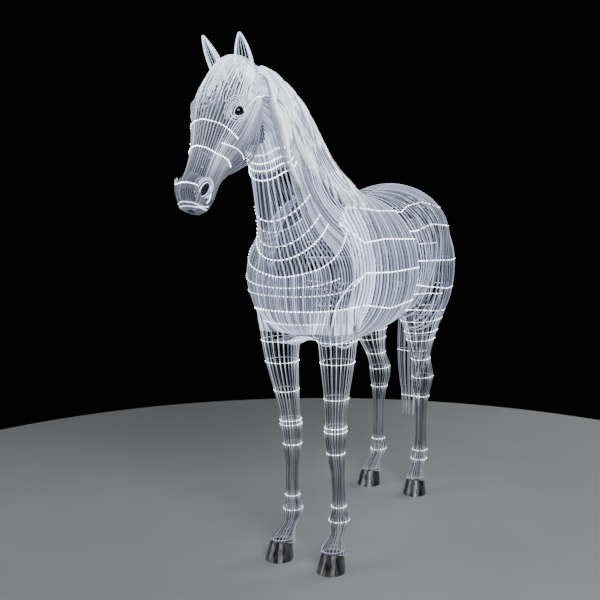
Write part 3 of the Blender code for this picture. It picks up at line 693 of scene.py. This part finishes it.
share = np.linspace(-1, 1, 2 * HEAD_STRANDS + 1)
row = np.linspace(2, len(head_rows) - 1, 90)
opened = np.interp(row / HEAD_SLICES_BETWEEN, *np.array(JAW_OPENS, float).T)
row, degree = np.broadcast_arrays(row[None], share[:, None] * opened)
for side in (1, -1):
    degree = parted(row, degree, EYE[side], *EYE_OPENING)
    degree = parted(row, degree, NOSTRIL[side], *NOSTRIL_OPENING)
rods, out = on_head_wall(row, degree)
# Painted light and shade: the head strands are painted lighter towards the poll, darker towards the muzzle,
# and up to three tenths darker on the sides of the head.
painted_head_light = np.interp(row / HEAD_SLICES_BETWEEN, PAINTED_HEAD_LIGHT_SLICES, PAINTED_HEAD_LIGHT_SHARES)
painted_head_light = painted_head_light * (1 - 0.3 * np.clip((np.abs(degree) - 50) / 50, 0, 1))
tone = shades(len(rods), 0.4, 0.85, 30) * painted_head_light
head_parts = [tubes(rods - out * HEAD_RADIUS, out, HEAD_RADIUS, tone=tone, inner=0.1)]


def ways_about(outward, along):
    """Three ways square to each other: out, along less its own part outwards, and across them both."""
    outward = unit(np.asarray(outward, float))
    along = unit(along - outward * (along @ outward))
    return outward, along, np.cross(outward, along)


def rims(middle, outward, along, loops, radius, corner):
    """Closed loops about a place, each an oval of two half sizes and how far it stands out: middle + along
    x cosine + across x sine, pinched to corners by the power of the sine."""
    outward, along, across = ways_about(outward, along)
    half_long, half_wide, rise = np.array(loops).T[:, :, None, None]
    turn = np.linspace(0, 2 * np.pi, 40, endpoint=False)[:, None]
    pinch = np.sign(np.sin(turn)) * np.abs(np.sin(turn)) ** corner
    ovals = middle + along * (np.cos(turn) * half_long) + across * (pinch * half_wide) + outward * rise
    return tubes(ovals, ovals - middle + outward * 2, radius, closed=True, tone=0.8)


def brow(side, outward, along, arcs):
    """Arcs over the eye from corner to corner, half ovals of the half length and height in each row: each
    stands out by 0.4 cm at its ends and by its rise more at the middle, with the sine of the turn."""
    outward, along, across = ways_about(outward, along)
    upward = across * side
    half_long, height, rise = np.array(arcs).T[:, :, None, None]
    turn = np.linspace(0, np.pi, 24)[None, :, None]
    rods = EYE[side] + along * np.cos(turn) * half_long + upward * np.sin(turn) * height
    rods = rods + outward * (0.4 + rise * np.sin(turn))
    return tubes(rods, outward + upward * 0.4 + 0 * rods, LID_RADIUS, tone=0.62, inner=0.2)


# Lids and wings are half length, half width and rise; brows are half length, height and rise.
LIDS = [(3.0, 1.7, 1.6), (3.8, 2.4, 1.2), (4.8, 3.2, 0.7)]
WINGS = [(3.4, 2.2, 0.8), (3.9, 2.7, 0.3), (2.5, 1.4, 1.0)]
BROWS = [(4.4, 2.5, 1.7), (4.8, 3.1, 1.7), (5.2, 3.8, 1.4), (5.6, 4.5, 0.9), (6.0, 5.2, 0.3)]
LID_RADIUS, WING_RADIUS, LIP_RADIUS = 0.17, 0.26, 0.26
for side in (1, -1):
    eye_out = np.array([side * 0.86, -0.48, 0.16])
    eye_along = np.array([side * 0.1, 0.86, 0.42])
    head_parts.append(brow(side, eye_out, eye_along, BROWS))
    head_parts.append(rims(EYE[side], eye_out, eye_along, LIDS, LID_RADIUS, 1.3))
    wing_out = np.array([side * 0.8, -0.6, -0.1])
    wing_along = np.array([side * 0.25, 0.55, 1.0])
    head_parts.append(rims(NOSTRIL[side], wing_out, wing_along, WINGS, WING_RADIUS, 1.0))

# Each lip runs from the corner of the mouth to the middle, as slice number and degrees.
LIPS = [
    [(9.7, 118), (10.0, 105), (10.4, 82), (10.8, 40), (10.8, 0)],
    [(10.1, 124), (10.4, 110), (10.95, 85), (11.4, 40), (11.4, 0)],
]


def mirrored(half):
    """A line of slice numbers and degrees, carried on over the nose with the degrees turned about."""
    return np.concatenate((half, half[-2::-1] * [1, -1]))


for lip in LIPS:
    line = mirrored(through(lip, 30))
    rods, out = on_head_wall(line[None, :, 0] * HEAD_SLICES_BETWEEN, line[None, :, 1])
    head_parts.append(tubes(rods + out * 0.1, out, LIP_RADIUS, tone=1.0))
strand_piece("head_strands", head_parts, HEAD_RESIN)

# THE EARS. Each is a leaf of resin strands from base to tip round an open hollow that faces forward, and
# its edge strands are the thickest. The strands are fused to the poll at the base.
EAR_BASE = np.array([4.8, -107.0, 194.5])
EAR_TIP = np.array([7.3, -116.5, 209.5])
EAR_HALF_WIDTH, EAR_HALF_DEPTH = 3.15, 1.75
EAR_RADIUS, EAR_EDGE_MORE = 0.15, 0.11
EAR_STRANDS = 12
EAR_OPENING = 150, 390
HEAD_MIDDLE = np.array([-1.8, 0.0, 0.0])
ear_parts = []
for side in (1, -1):
    base = EAR_BASE * [side, 1, 1] + HEAD_MIDDLE
    tip = EAR_TIP * [side, 1, 1] + HEAD_MIDDLE
    axis = tip - base
    across = unit(np.cross(axis, np.array([side * 0.35, -1.0, -0.25])))
    forward = unit(np.cross(across, axis))
    t = np.linspace(0, 0.99, 30)[None, :, None]
    width = np.maximum(np.sin(np.pi * (0.22 + 0.78 * t) ** 0.9) ** 0.75, 0.05)
    around = np.radians(np.linspace(*EAR_OPENING, EAR_STRANDS))[:, None, None]
    out = np.cos(around) * across + np.sin(around) * forward + 0 * t
    shell = base + axis * t + width * (
        np.cos(around) * across * EAR_HALF_WIDTH + np.sin(around) * forward * EAR_HALF_DEPTH
    )
    edge = np.abs(np.linspace(-1, 1, EAR_STRANDS))[:, None]
    radius = EAR_RADIUS + EAR_EDGE_MORE * edge**3
    ear_parts.append(tubes(shell, out, radius, tone=0.5 + 0.4 * edge**2, inner=0.7))
strand_piece("ears", ear_parts, HEAD_RESIN)

# THE MANE AND FORELOCK. Fine wavy resin strands leave the crest and lie in locks down the left of the
# neck, so close that they read as one pale mass, with the partings between locks painted darker as shade.
# The forelock falls between the ears, fused to the forehead.

# Where each lock leaves the crest, as y and height.
LOCK_ROOTS = [
    (-101.0, 198.6), (-93.0, 200.8), (-85.0, 199.0), (-77.0, 195.6), (-69.0, 190.8), (-61.0, 183.4),
    (-53.0, 175.8), (-46.0, 169.4), (-39.0, 163.0), (-32.0, 159.4),
]
LOCK_RUN, LOCK_DROP = 26.0, -44.0
LOCK_WAVE = 1.7
LOCK_ACROSS_Y, LOCK_ACROSS_Z = 0.86, 0.46
CREST_RISE, ROOT_SINKS = 1.9, 1.2
PAST_MIDDLE, MANE_OFF = -1.5, 0.65
LOCK_HALF_WIDTH = 6.3
STRANDS_A_LOCK = 25
LOCK_ROOT_SPREAD = 0.56
LOCK_LEAVES_BY = 0.34
MANE_RADIUS = 0.34
RELIEF_STEP, RELIEF_START, RELIEF_CELLS = 0.8, -150, (330, 270)
NO_RELIEF = -99.0
MANE_RESIN = resin("mane strands", (0.83, 0.86, 0.98), (0.05, 0.06, 0.10), 2.0, 6.0)


def left_relief():
    """How far out the figure reaches at each place of its left side's view: points spread over every
    triangle drop onto a grid, the farthest out is kept, and empty cells take the most beside them."""
    u, v = np.meshgrid(np.linspace(0, 1, 7), np.linspace(0, 1, 7))
    inside = u + v <= 1.001
    u, v = u[inside], v[inside]
    weights = np.stack((1 - u - v, u, v))[:, None, :, None]
    spread = (SKIN.transpose(1, 0, 2)[:, :, None] * weights).sum(0).reshape(-1, 3)
    cell_y = ((spread[:, 1] - RELIEF_START) / RELIEF_STEP).astype(int)
    cell_z = (spread[:, 2] / RELIEF_STEP).astype(int)
    relief = np.full(RELIEF_CELLS, NO_RELIEF)
    np.maximum.at(relief, (cell_y, cell_z), spread[:, 0])
    for _ in range(2):
        around = np.max([np.roll(relief, step, way) for step in (1, -1) for way in (0, 1)], 0)
        relief = np.where(relief < -90, around, relief)
    return np.where(relief < -90, relief, soften(relief, 1, False))


RELIEF = left_relief()


def out_at(y, z):
    """The left side's reach at any place of the side view, read from the middles of the relief's cells."""
    return blended(RELIEF, (y - RELIEF_START) / RELIEF_STEP - 0.5, z / RELIEF_STEP - 0.5)


def lock(number, root_y, root_z):
    """One lock of the mane. A strand's place is the root + the run and drop x its share of the way + the
    wave + its place across x the half width x a swell that narrows to a tip. The roots spread along the
    crest, sunk a little into it just past its middle, and the strands rise over it from there. Each lies
    a little off the left side's reach, and those at the lock's edges are painted darker, as painted shade in
    its partings."""
    t = np.linspace(0, 1, 44)[None, :]
    random = np.random.default_rng(50 + number)
    place = np.linspace(-1, 1, STRANDS_A_LOCK)[:, None] + random.uniform(-0.03, 0.03, (STRANDS_A_LOCK, 1))
    reach = random.uniform(0.86, 1.0, (STRANDS_A_LOCK, 1)) * (1 - 0.10 * place**2)
    s = t * reach
    wave = LOCK_WAVE * s * np.sin(2 * np.pi * s + 1.7 * number + 0.5 * place)
    swell = np.sin(np.pi * np.minimum(0.999, 0.30 + 0.70 * s)) ** 0.6
    parted_off = smooth_step(s / LOCK_LEAVES_BY)
    across = place * LOCK_HALF_WIDTH * swell * parted_off
    at_crest = number + LOCK_ROOT_SPREAD * place
    crest_y, crest_z = (np.interp(at_crest, np.arange(len(LOCK_ROOTS)), line) for line in zip(*LOCK_ROOTS))
    at_root = 1 - parted_off
    y = root_y + (crest_y - root_y) * at_root + LOCK_RUN * s**1.15 + wave + across * LOCK_ACROSS_Y
    z = root_z + (crest_z - root_z) * at_root + LOCK_DROP * s**1.2 + wave / 2 + across * LOCK_ACROSS_Z
    rise = CREST_RISE * (1 - place**2) * np.exp(-(((s - 0.07) / 0.08) ** 2))
    z = z - ROOT_SINKS * np.exp(-s * 30) + rise
    x = out_at(y, z)
    x = np.where(x < -20, PAST_MIDDLE, x)
    x = soften(x[..., None], 5, False)[..., 0]
    crest = np.clip(s / 0.10, 0, 1) ** 0.5
    x = -ROOT_SINKS * (1 - crest) + x * crest + MANE_OFF - random.uniform(0, 0.25, (STRANDS_A_LOCK, 1))
    rods = np.stack((x, y, z), -1)
    taper = MANE_RADIUS * (1 - 0.6 * t**3)
    # The strands at each lock's edges are painted darker as painted shade in the partings, and all grow a
    # little darker towards the tips.
    tone = 0.92 - 0.45 * np.abs(place) ** 3 + 0.14 * np.sin(9 * place + 2 * number) - 0.12 * t
    return tubes(rods, [1.0, 0, 0.3], taper + 0 * s, tone=tone, inner=0.3)


mane_parts = [lock(number, *root) for number, root in enumerate(LOCK_ROOTS)]
strand_piece("mane", mane_parts, MANE_RESIN)

FORELOCK_STRANDS = 56
FORELOCK_RADIUS = 0.27
FORELOCK_TURN = 74
random = np.random.default_rng(70)
place = np.linspace(-1, 1, FORELOCK_STRANDS)[:, None]
last_row = 25 - 5 * np.abs(place) + random.uniform(-3, 2, (FORELOCK_STRANDS, 1))
t = np.linspace(0, 1, 40)[None, :]
row = 0.5 + t * (last_row - 0.5)
degree = FORELOCK_TURN * place * (0.25 + 0.75 * t**1.2) + 4 * np.sin(3.2 * t + 2 * place)
rods, out = on_head_wall(row, degree)
loose = random.uniform(0, 0.15, (FORELOCK_STRANDS, 1))
rods = rods + out * (0.3 + 0.6 * np.sin(np.pi * t) + loose)[..., None]
taper = FORELOCK_RADIUS * (1 - 0.6 * t**2) + 0 * place
forelock_parts = [tubes(rods, out, taper, tone=shades(FORELOCK_STRANDS, 0.75, 1.05, 71), inner=0.3)]
strand_piece("forelock", forelock_parts, MANE_RESIN)

# THE TAIL. Loose strands of the legs' thin resin leave the dock, fall behind the hocks and end one by
# one. They hang in three rings, one inside another, and two lit bands tie them.

# Where the middle of the tail lies and its size, as x, y, height, half width and half depth.
TAIL_MIDDLE = [
    (0.0, 71.0, 142.5, 2.4, 3.5), (-0.2, 77.8, 141.0, 3.3, 4.6), (-0.6, 82.8, 136.5, 4.3, 5.2),
    (-1.2, 86.8, 128.5, 5.4, 5.0), (-2.0, 89.2, 116.0, 6.6, 5.2), (-2.8, 90.2, 100.0, 7.8, 5.6),
    (-3.4, 90.1, 82.0, 8.4, 5.6), (-3.8, 89.6, 64.0, 7.8, 4.9), (-4.0, 89.1, 48.0, 5.6, 3.4),
    (-4.0, 88.9, 37.0, 2.8, 1.7), (-4.0, 88.9, 32.2, 1.0, 0.5),
]
TAIL_RADIUS = 0.2
TAIL_RINGS = [(26, 1.0), (14, 0.62), (6, 0.25)]
WISPS_BELOW, WISP_HALF_WIDTH, WISP_HALF_DEPTH = 64, 5.2, 2.2
tail_path = through(TAIL_MIDDLE, 60)
tail_parts = []
tail_rods = []
for ring, (count, size) in enumerate(TAIL_RINGS):
    random = np.random.default_rng(80 + ring)
    around = np.linspace(0, 2 * np.pi, count, endpoint=False) + random.uniform(-0.06, 0.06, count)
    reach = random.uniform(0.76, 1.0, (count, 1))
    at = np.linspace(0, 1, 56)[None] * reach * (len(tail_path) - 1)
    row = resampled(tail_path, at)
    for measure, least in ((3, WISP_HALF_WIDTH), (4, WISP_HALF_DEPTH)):
        row[..., measure] = np.maximum(row[..., measure], np.where(row[..., 2] < WISPS_BELOW, least, 0))
    x = row[..., 0] + np.cos(around)[:, None] * size * row[..., 3]
    y = row[..., 1] + np.sin(around)[:, None] * size * row[..., 4]
    rods = np.stack((x, y, row[..., 2]), -1)
    out = np.stack((np.cos(around), np.sin(around), 0 * around), -1)[:, None]
    tail_parts.append(tubes(rods, out, TAIL_RADIUS, tone=shades(count, 0.3, 0.6, 90 + ring)))
    tail_rods.append(rods)
strand_piece("tail_strands", tail_parts, LEG_RESIN)

# THE LIGHT BANDS. Thin lit fibres ring the figure, and a small clear bead fuses each strand to them, so
# each band reads as a bright line of points. Heights and slice numbers follow the real bands.
BAND_RADIUS = 0.16
BEAD_RADIUS = 0.38
TAIL_TIES = (69.0, 43.5)


def lit(name, colour, strength):
    """Light fibre: clear resin that glows by cloud noise x the kept shade x the strength, so that it is a
    little brighter and dimmer along its length."""
    made, nodes, links, shader = blank(name)
    give(shader, {"Base Color": (0.9, 0.93, 1.0, 1), "Roughness": 0.15, "Emission Color": (*colour, 1)})
    uneven = worked(nodes, links, "MULTIPLY", cloud_noise(nodes, links, 22.0), kept_shade(nodes))
    links.new(worked(nodes, links, "MULTIPLY", uneven, strength), shader.inputs["Emission Strength"])
    return made


def beads(places, out, radius, tone):
    """Small balls of twenty faces, their corners on the three golden rectangles, one at each place. They
    are lit on the side that faces out: the tone times the corner's way times the way out."""
    g = (1 + 5**0.5) / 2
    corners = np.array([
        (-1, g, 0), (1, g, 0), (-1, -g, 0), (1, -g, 0), (0, -1, g), (0, 1, g), (0, -1, -g), (0, 1, -g),
        (g, 0, -1), (g, 0, 1), (-g, 0, -1), (-g, 0, 1),
    ]) / np.hypot(1, g)
    faces = np.array([
        (0, 11, 5), (0, 5, 1), (0, 1, 7), (0, 7, 10), (0, 10, 11), (1, 5, 9), (5, 11, 4), (11, 10, 2),
        (10, 7, 6), (7, 1, 8), (3, 9, 4), (3, 4, 2), (3, 2, 6), (3, 6, 8), (3, 8, 9), (4, 9, 5), (2, 4, 11),
        (6, 2, 10), (8, 6, 7), (9, 8, 1),
    ])
    points = (places[:, None] + corners * radius).reshape(-1, 3)
    every = (faces + 12 * np.arange(len(places))[:, None, None]).reshape(-1, 3)
    painted_facing_light = np.clip(0.35 + out @ corners.T, 0.03, 1.2)
    return points, [every], (painted_facing_light * tone).reshape(-1)


def band(points, middle, closed=False, tone=1.0, size=1.0, every=1, fibre_share=1.0):
    """One lit fibre through the points, with a bead at every one of them or every second. Out is away
    from the middle, the size scales the fibre and the beads together, and the fibre's tone is a share of
    theirs."""
    points = np.asarray(points, float)
    if closed:
        run = through(np.concatenate((points[-1:], points, points[:2])), (len(points) + 2) * 3 + 1)[3:-6]
    else:
        run = through(points, (len(points) - 1) * 3 + 1)
    middles = np.broadcast_to(middle, points.shape)
    ways = [run - through(middles, len(run)), points - middles]
    ways = [unit(way) for way in ways]
    fibre = tubes(run[None], ways[0][None], BAND_RADIUS * size, closed, tone=tone * fibre_share)
    places = (points + ways[1] * 0.1)[::every]
    return [fibre, beads(places, ways[1][::every], BEAD_RADIUS * size, tone * 1.7)]


def crossing(rods, height):
    """Where each rod passes a height, found between the two points on either side of it. The height may
    change along the horse, as pairs of y and height."""
    found = []
    for rod in rods:
        level = np.interp(rod[0, 1], *np.array(height, float).T) if np.ndim(height) else height
        above = rod[:, 2] > level
        change = np.flatnonzero(above[:-1] != above[1:])
        if len(change):
            k = change[0]
            share = (level - rod[k, 2]) / (rod[k + 1, 2] - rod[k, 2])
            found.append(rod[k] + share * (rod[k + 1] - rod[k]))
    return np.array(found)


BAND_GLOW = lit("lit fibre and beads", (0.86, 0.92, 1.0), 11.0)
bands = []
for leg, levels in LEG_BANDS.items():
    grid, out, heights = leg_walls[leg]
    for level in levels:
        ring = crossing(grid.transpose(1, 0, 2), level)
        bands += band(ring, ring.mean(0), closed=True, tone=1.1 if level > 40 else 0.8,
                      size=0.58, every=1 if level > 80 else 2, fibre_share=0.5)

# Slice number, how far each band reaches to the sides in degrees, and its tone.
SLEEVE_BANDS = [
    (3.3, 55, 0.7), (3.8, 60, 0.8), (4.2, 62, 0.9), (4.6, 70, 0.9), (6.0, 84, 1.0), (6.4, 40, 0.4),
    (7.0, 84, 1.0), (8.0, 88, 1.0), (9.0, 96, 1.1), (10.0, 60, 0.6), (11.0, 84, 0.4), (12.0, 100, 1.0),
    (13.0, 50, 0.6),
]
for slice_number, half_turn, tone in SLEEVE_BANDS:
    level = int(round(slice_number * SLICES_BETWEEN))
    chosen = np.abs(neck_degrees[front]) <= half_turn
    step = 4 if 5.6 < slice_number < 7.2 else 2
    bands += band(chest[level, chosen][::step], centre[level], tone=tone, size=0.85, fibre_share=0.4)

# The band's y and height, the first and last hoop that it crosses, and its tone. Those that reach the
# tail go on over the rump's strands.
TO_THE_TAIL = 99.0
HAUNCH_MIDDLE = [0, 42.0, FAN_HEIGHT]
FLANK_BANDS = [
    ([(-48.0, 149.3), (-40.8, 149.2), (-20.7, 147.8), (7.3, 147.4)], -48.5, 5.0, 0.7),
    ([(-57.0, 143.0), (-46.0, 135.1), (-25.7, 136.0), (5.6, 134.7)], -57.5, 5.0, 1.0),
    ([(-58.9, 117.8), (-47.8, 123.0), (-25.0, 121.8), (5.0, 122.1)], -59.0, 5.0, 1.1),
    ([(-44.0, 109.4), (-19.8, 105.6), (5.0, 107.4)], -45.0, 5.0, 0.9),
    ([(7.4, 146.9), (18.2, 149.6), (33.0, 151.4), (50.0, 148.4)], 2.0, TO_THE_TAIL, 0.9),
    ([(9.2, 138.2), (29.6, 140.9), (57.8, 139.2)], 2.0, TO_THE_TAIL, 1.0),
    ([(7.1, 132.4), (37.8, 132.0)], 6.0, 30.0, 0.4),
    ([(3.4, 124.9), (52.4, 122.4)], 2.0, TO_THE_TAIL, 1.0),
    ([(4.0, 113.9), (49.9, 108.4)], 2.0, TO_THE_TAIL, 1.0),
    ([(0.5, 110.0), (42.2, 106.4)], 2.0, 46.0, 0.8),
    ([(-2.4, 102.8), (48.4, 97.0)], 2.0, TO_THE_TAIL, 1.0),
]
flank_at = np.append(hoop_at[main_hoop], hip_at)
for side in (1, -1):
    flank = flank_arcs(side, flank_at, 0.0, np.inf, THIGH_TOP - 2)
    for heights, first, last, tone in FLANK_BANDS:
        line = crossing(flank[(flank_at >= first) & (flank_at <= last)], heights)
        ways = line * [0, 1, 0] + [0, 0, RIB_HEIGHT]
        if last == TO_THE_TAIL:
            behind = crossing(rump_rows[side], heights[-1][1])
            behind = behind[behind[:, 1] > line[-1, 1] + 1.5]
            line = np.concatenate((line, behind))
            ways = np.concatenate((ways, 0 * behind + HAUNCH_MIDDLE))
        bands += band(line, ways, tone=tone)

# Slice number and degrees along the band, whether it goes on over the nose, and its tone.
HEAD_BANDS = [
    ([(4.5, 87), (4.83, 54), (5.17, 18), (5.2, 0)], True, 1.0),
    ([(5.5, 135), (5.8, 100), (6.33, 51), (6.5, 12), (6.5, 0)], True, 1.0),
    ([(5.67, 54), (5.0, 93), (4.0, 147)], False, 0.9),
    ([(9.0, 33), (9.05, 0)], True, 0.9),
    ([(8.2, 80), (8.8, 96), (9.5, 104)], False, 0.7),
    ([(3.2, 60), (2.83, 60), (1.67, 66), (0.67, 81)], False, 0.8),
]
for places, across_nose, tone in HEAD_BANDS:
    half = through(places, 4 * len(places))
    lines = [mirrored(half)] if across_nose else [half, half * [1, -1]]
    for line in lines:
        points, out = on_head_wall(line[:, 0] * HEAD_SLICES_BETWEEN, line[:, 1])
        bands += band(points + out * 0.1, points - out * 5, tone=tone, size=0.7)

for height in TAIL_TIES:
    ring = crossing(tail_rods[0], height)
    bands += band(ring, ring.mean(0), closed=True, tone=0.9, size=0.6, fibre_share=0.5)

lights = put_mesh("light_bands", bands)
lights.data.materials.append(BAND_GLOW)
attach(lights, "root")

# THE HOOVES. Each is a cup of solid steel under a leg, brushed upright from crown to sole, and the leg's
# strands are set over its rim. Its upright colour streaks are partly the brushed grain and partly painted
# highlight and reflection streaks. The frame's solids stay and take the metal.
STEEL_DARK, STEEL_GRAIN_AND_PAINTED_GLINT = (0.10, 0.10, 0.11), (0.46, 0.46, 0.47)
steel, nodes, links, shader = blank("brushed steel")
give(shader, {"Metallic": 1.0})
stretch = nodes.new("ShaderNodeMapping")
give(stretch, {"Scale": (46.0, 46.0, 0.5)})
links.new(nodes.new("ShaderNodeTexCoord").outputs["Object"], stretch.inputs["Vector"])
# Upright streaks: the brushed grain in roughness and ripple, and in the colour partly the grain and partly
# painted highlight and reflection streaks.
grain_and_painted_glints = cloud_noise(nodes, links, 1.6, 2.5, stretch.outputs[0])
links.new(tinted(nodes, links, grain_and_painted_glints, (0.35, STEEL_DARK), (0.68, STEEL_GRAIN_AND_PAINTED_GLINT)), shader.inputs["Base Color"])
rough = nodes.new("ShaderNodeMapRange")
give(rough, {"To Min": 0.22, "To Max": 0.46})
links.new(grain_and_painted_glints, rough.inputs["Value"])
links.new(rough.outputs[0], shader.inputs["Roughness"])
rippled(nodes, links, shader, grain_and_painted_glints, 0.25, 0.0006)


def finished(solid, finish):
    """Gives a solid of the frame its finish, in place of the one that it came with."""
    if not solid.material_slots:
        solid.data.materials.append(finish)
    for slot in solid.material_slots:
        slot.material = finish


for leg in LEGS:
    finished(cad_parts[f"hoof_{leg}"], steel)

# THE EYES. Each is a polished ball of smoky dark glass, set behind the lids so that only its front shows.
# The frame's solids stay and take the glass.
GLASS_DARK, GLASS_LIGHT = (0.004, 0.004, 0.006), (0.035, 0.032, 0.036)
glass, nodes, links, shader = blank("dark glass")
give(shader, {"Roughness": 0.04, "IOR": 1.52, "Coat Weight": 1.0, "Coat Roughness": 0.02})
smoke = cloud_noise(nodes, links, 90.0)
links.new(tinted(nodes, links, smoke, (0.35, GLASS_DARK), (0.75, GLASS_LIGHT)), shader.inputs["Base Color"])
for side_name in ("left", "right"):
    finished(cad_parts[f"eye_{side_name}"], glass)

# THE SETTING. A plain pale round floor, a dark room behind so that the lit strands read as in the
# photograph, wide soft lights, and a camera at the photograph's place, height and tilt.
FLOOR_RADIUS, FLOOR_SIDES = 2.9, 128
FLOOR_DARK, FLOOR_LIGHT = (0.72, 0.73, 0.75), (0.80, 0.81, 0.83)
turn = np.linspace(0, 2 * np.pi, FLOOR_SIDES, endpoint=False)
rim = np.stack((np.cos(turn) * FLOOR_RADIUS, np.sin(turn) * FLOOR_RADIUS, 0 * turn), -1)
floor_mesh = bpy.data.meshes.new("floor")
floor_mesh.from_pydata(rim.tolist(), [], [list(range(FLOOR_SIDES))])
floor = bpy.data.objects.new("floor", floor_mesh)
bpy.context.scene.collection.objects.link(floor)
pale, nodes, links, shader = blank("pale floor")
give(shader, {"Roughness": 0.55})
mottle = cloud_noise(nodes, links, 3.0)
links.new(tinted(nodes, links, mottle, (0.0, FLOOR_DARK), (1.0, FLOOR_LIGHT)), shader.inputs["Base Color"])
floor_mesh.materials.append(pale)

world = bpy.data.worlds.new("dark room")
bpy.context.scene.world = world
world.use_nodes = True
give(world.node_tree.nodes["Background"], {"Color": (0.0012, 0.0013, 0.0016, 1), "Strength": 1.0})


def stood(name, data, right, up, back, at):
    """A light or camera in the scene at a place, its three axes the columns of its matrix."""
    made = bpy.data.objects.new(name, data)
    bpy.context.scene.collection.objects.link(made)
    made.matrix_world = Matrix([[right[k], up[k], back[k], at[k]] for k in range(3)] + [[0, 0, 0, 1]])
    return made


def soft_light(name, at, towards, size, power):
    """A square area light at a place, turned to face another: back is away from it, right is level."""
    data = bpy.data.lights.new(name, "AREA")
    data.size = size
    data.energy = power
    back = unit(np.array(at, float) - np.array(towards, float))
    right = unit(np.cross(UP, back))
    stood(name, data, right, np.cross(back, right), back, at)


soft_light("key", (3.2, -3.4, 3.6), (0, 0, 1.1), 2.6, 85)
soft_light("fill", (-3.6, -2.6, 2.4), (0, 0, 1.1), 3.0, 38)
soft_light("back", (1.5, 3.8, 3.2), (0, 0, 1.2), 2.4, 40)

TURN, LOOK_DOWN, ROLL = np.radians(26.355), 0.1103, -0.0015
DISTANCE, SIDEWAYS, LENS_HEIGHT = 4.2594, -0.2631, 1.5322
SENSOR_WIDTH = 36
LENS_IN_PIXELS, PHOTOGRAPH_WIDTH = 917.25, 600
right = np.array([np.cos(TURN), np.sin(TURN), 0])
look = np.array([-np.sin(TURN) * np.cos(LOOK_DOWN), np.cos(TURN) * np.cos(LOOK_DOWN), -np.sin(LOOK_DOWN)])
up = np.cross(right, look)
right, up = right * np.cos(ROLL) + up * np.sin(ROLL), up * np.cos(ROLL) - right * np.sin(ROLL)
lens_at = right * SIDEWAYS + np.array([np.sin(TURN), -np.cos(TURN), 0]) * DISTANCE
lens_at = np.array([lens_at[0], lens_at[1], LENS_HEIGHT]) + ORIGIN
camera_data = bpy.data.cameras.new("photograph view")
camera_data.sensor_width = SENSOR_WIDTH
camera_data.sensor_fit = "HORIZONTAL"
camera_data.lens = LENS_IN_PIXELS * SENSOR_WIDTH / PHOTOGRAPH_WIDTH
camera = stood("photograph view", camera_data, right, up, -look, lens_at)
bpy.context.scene.camera = camera
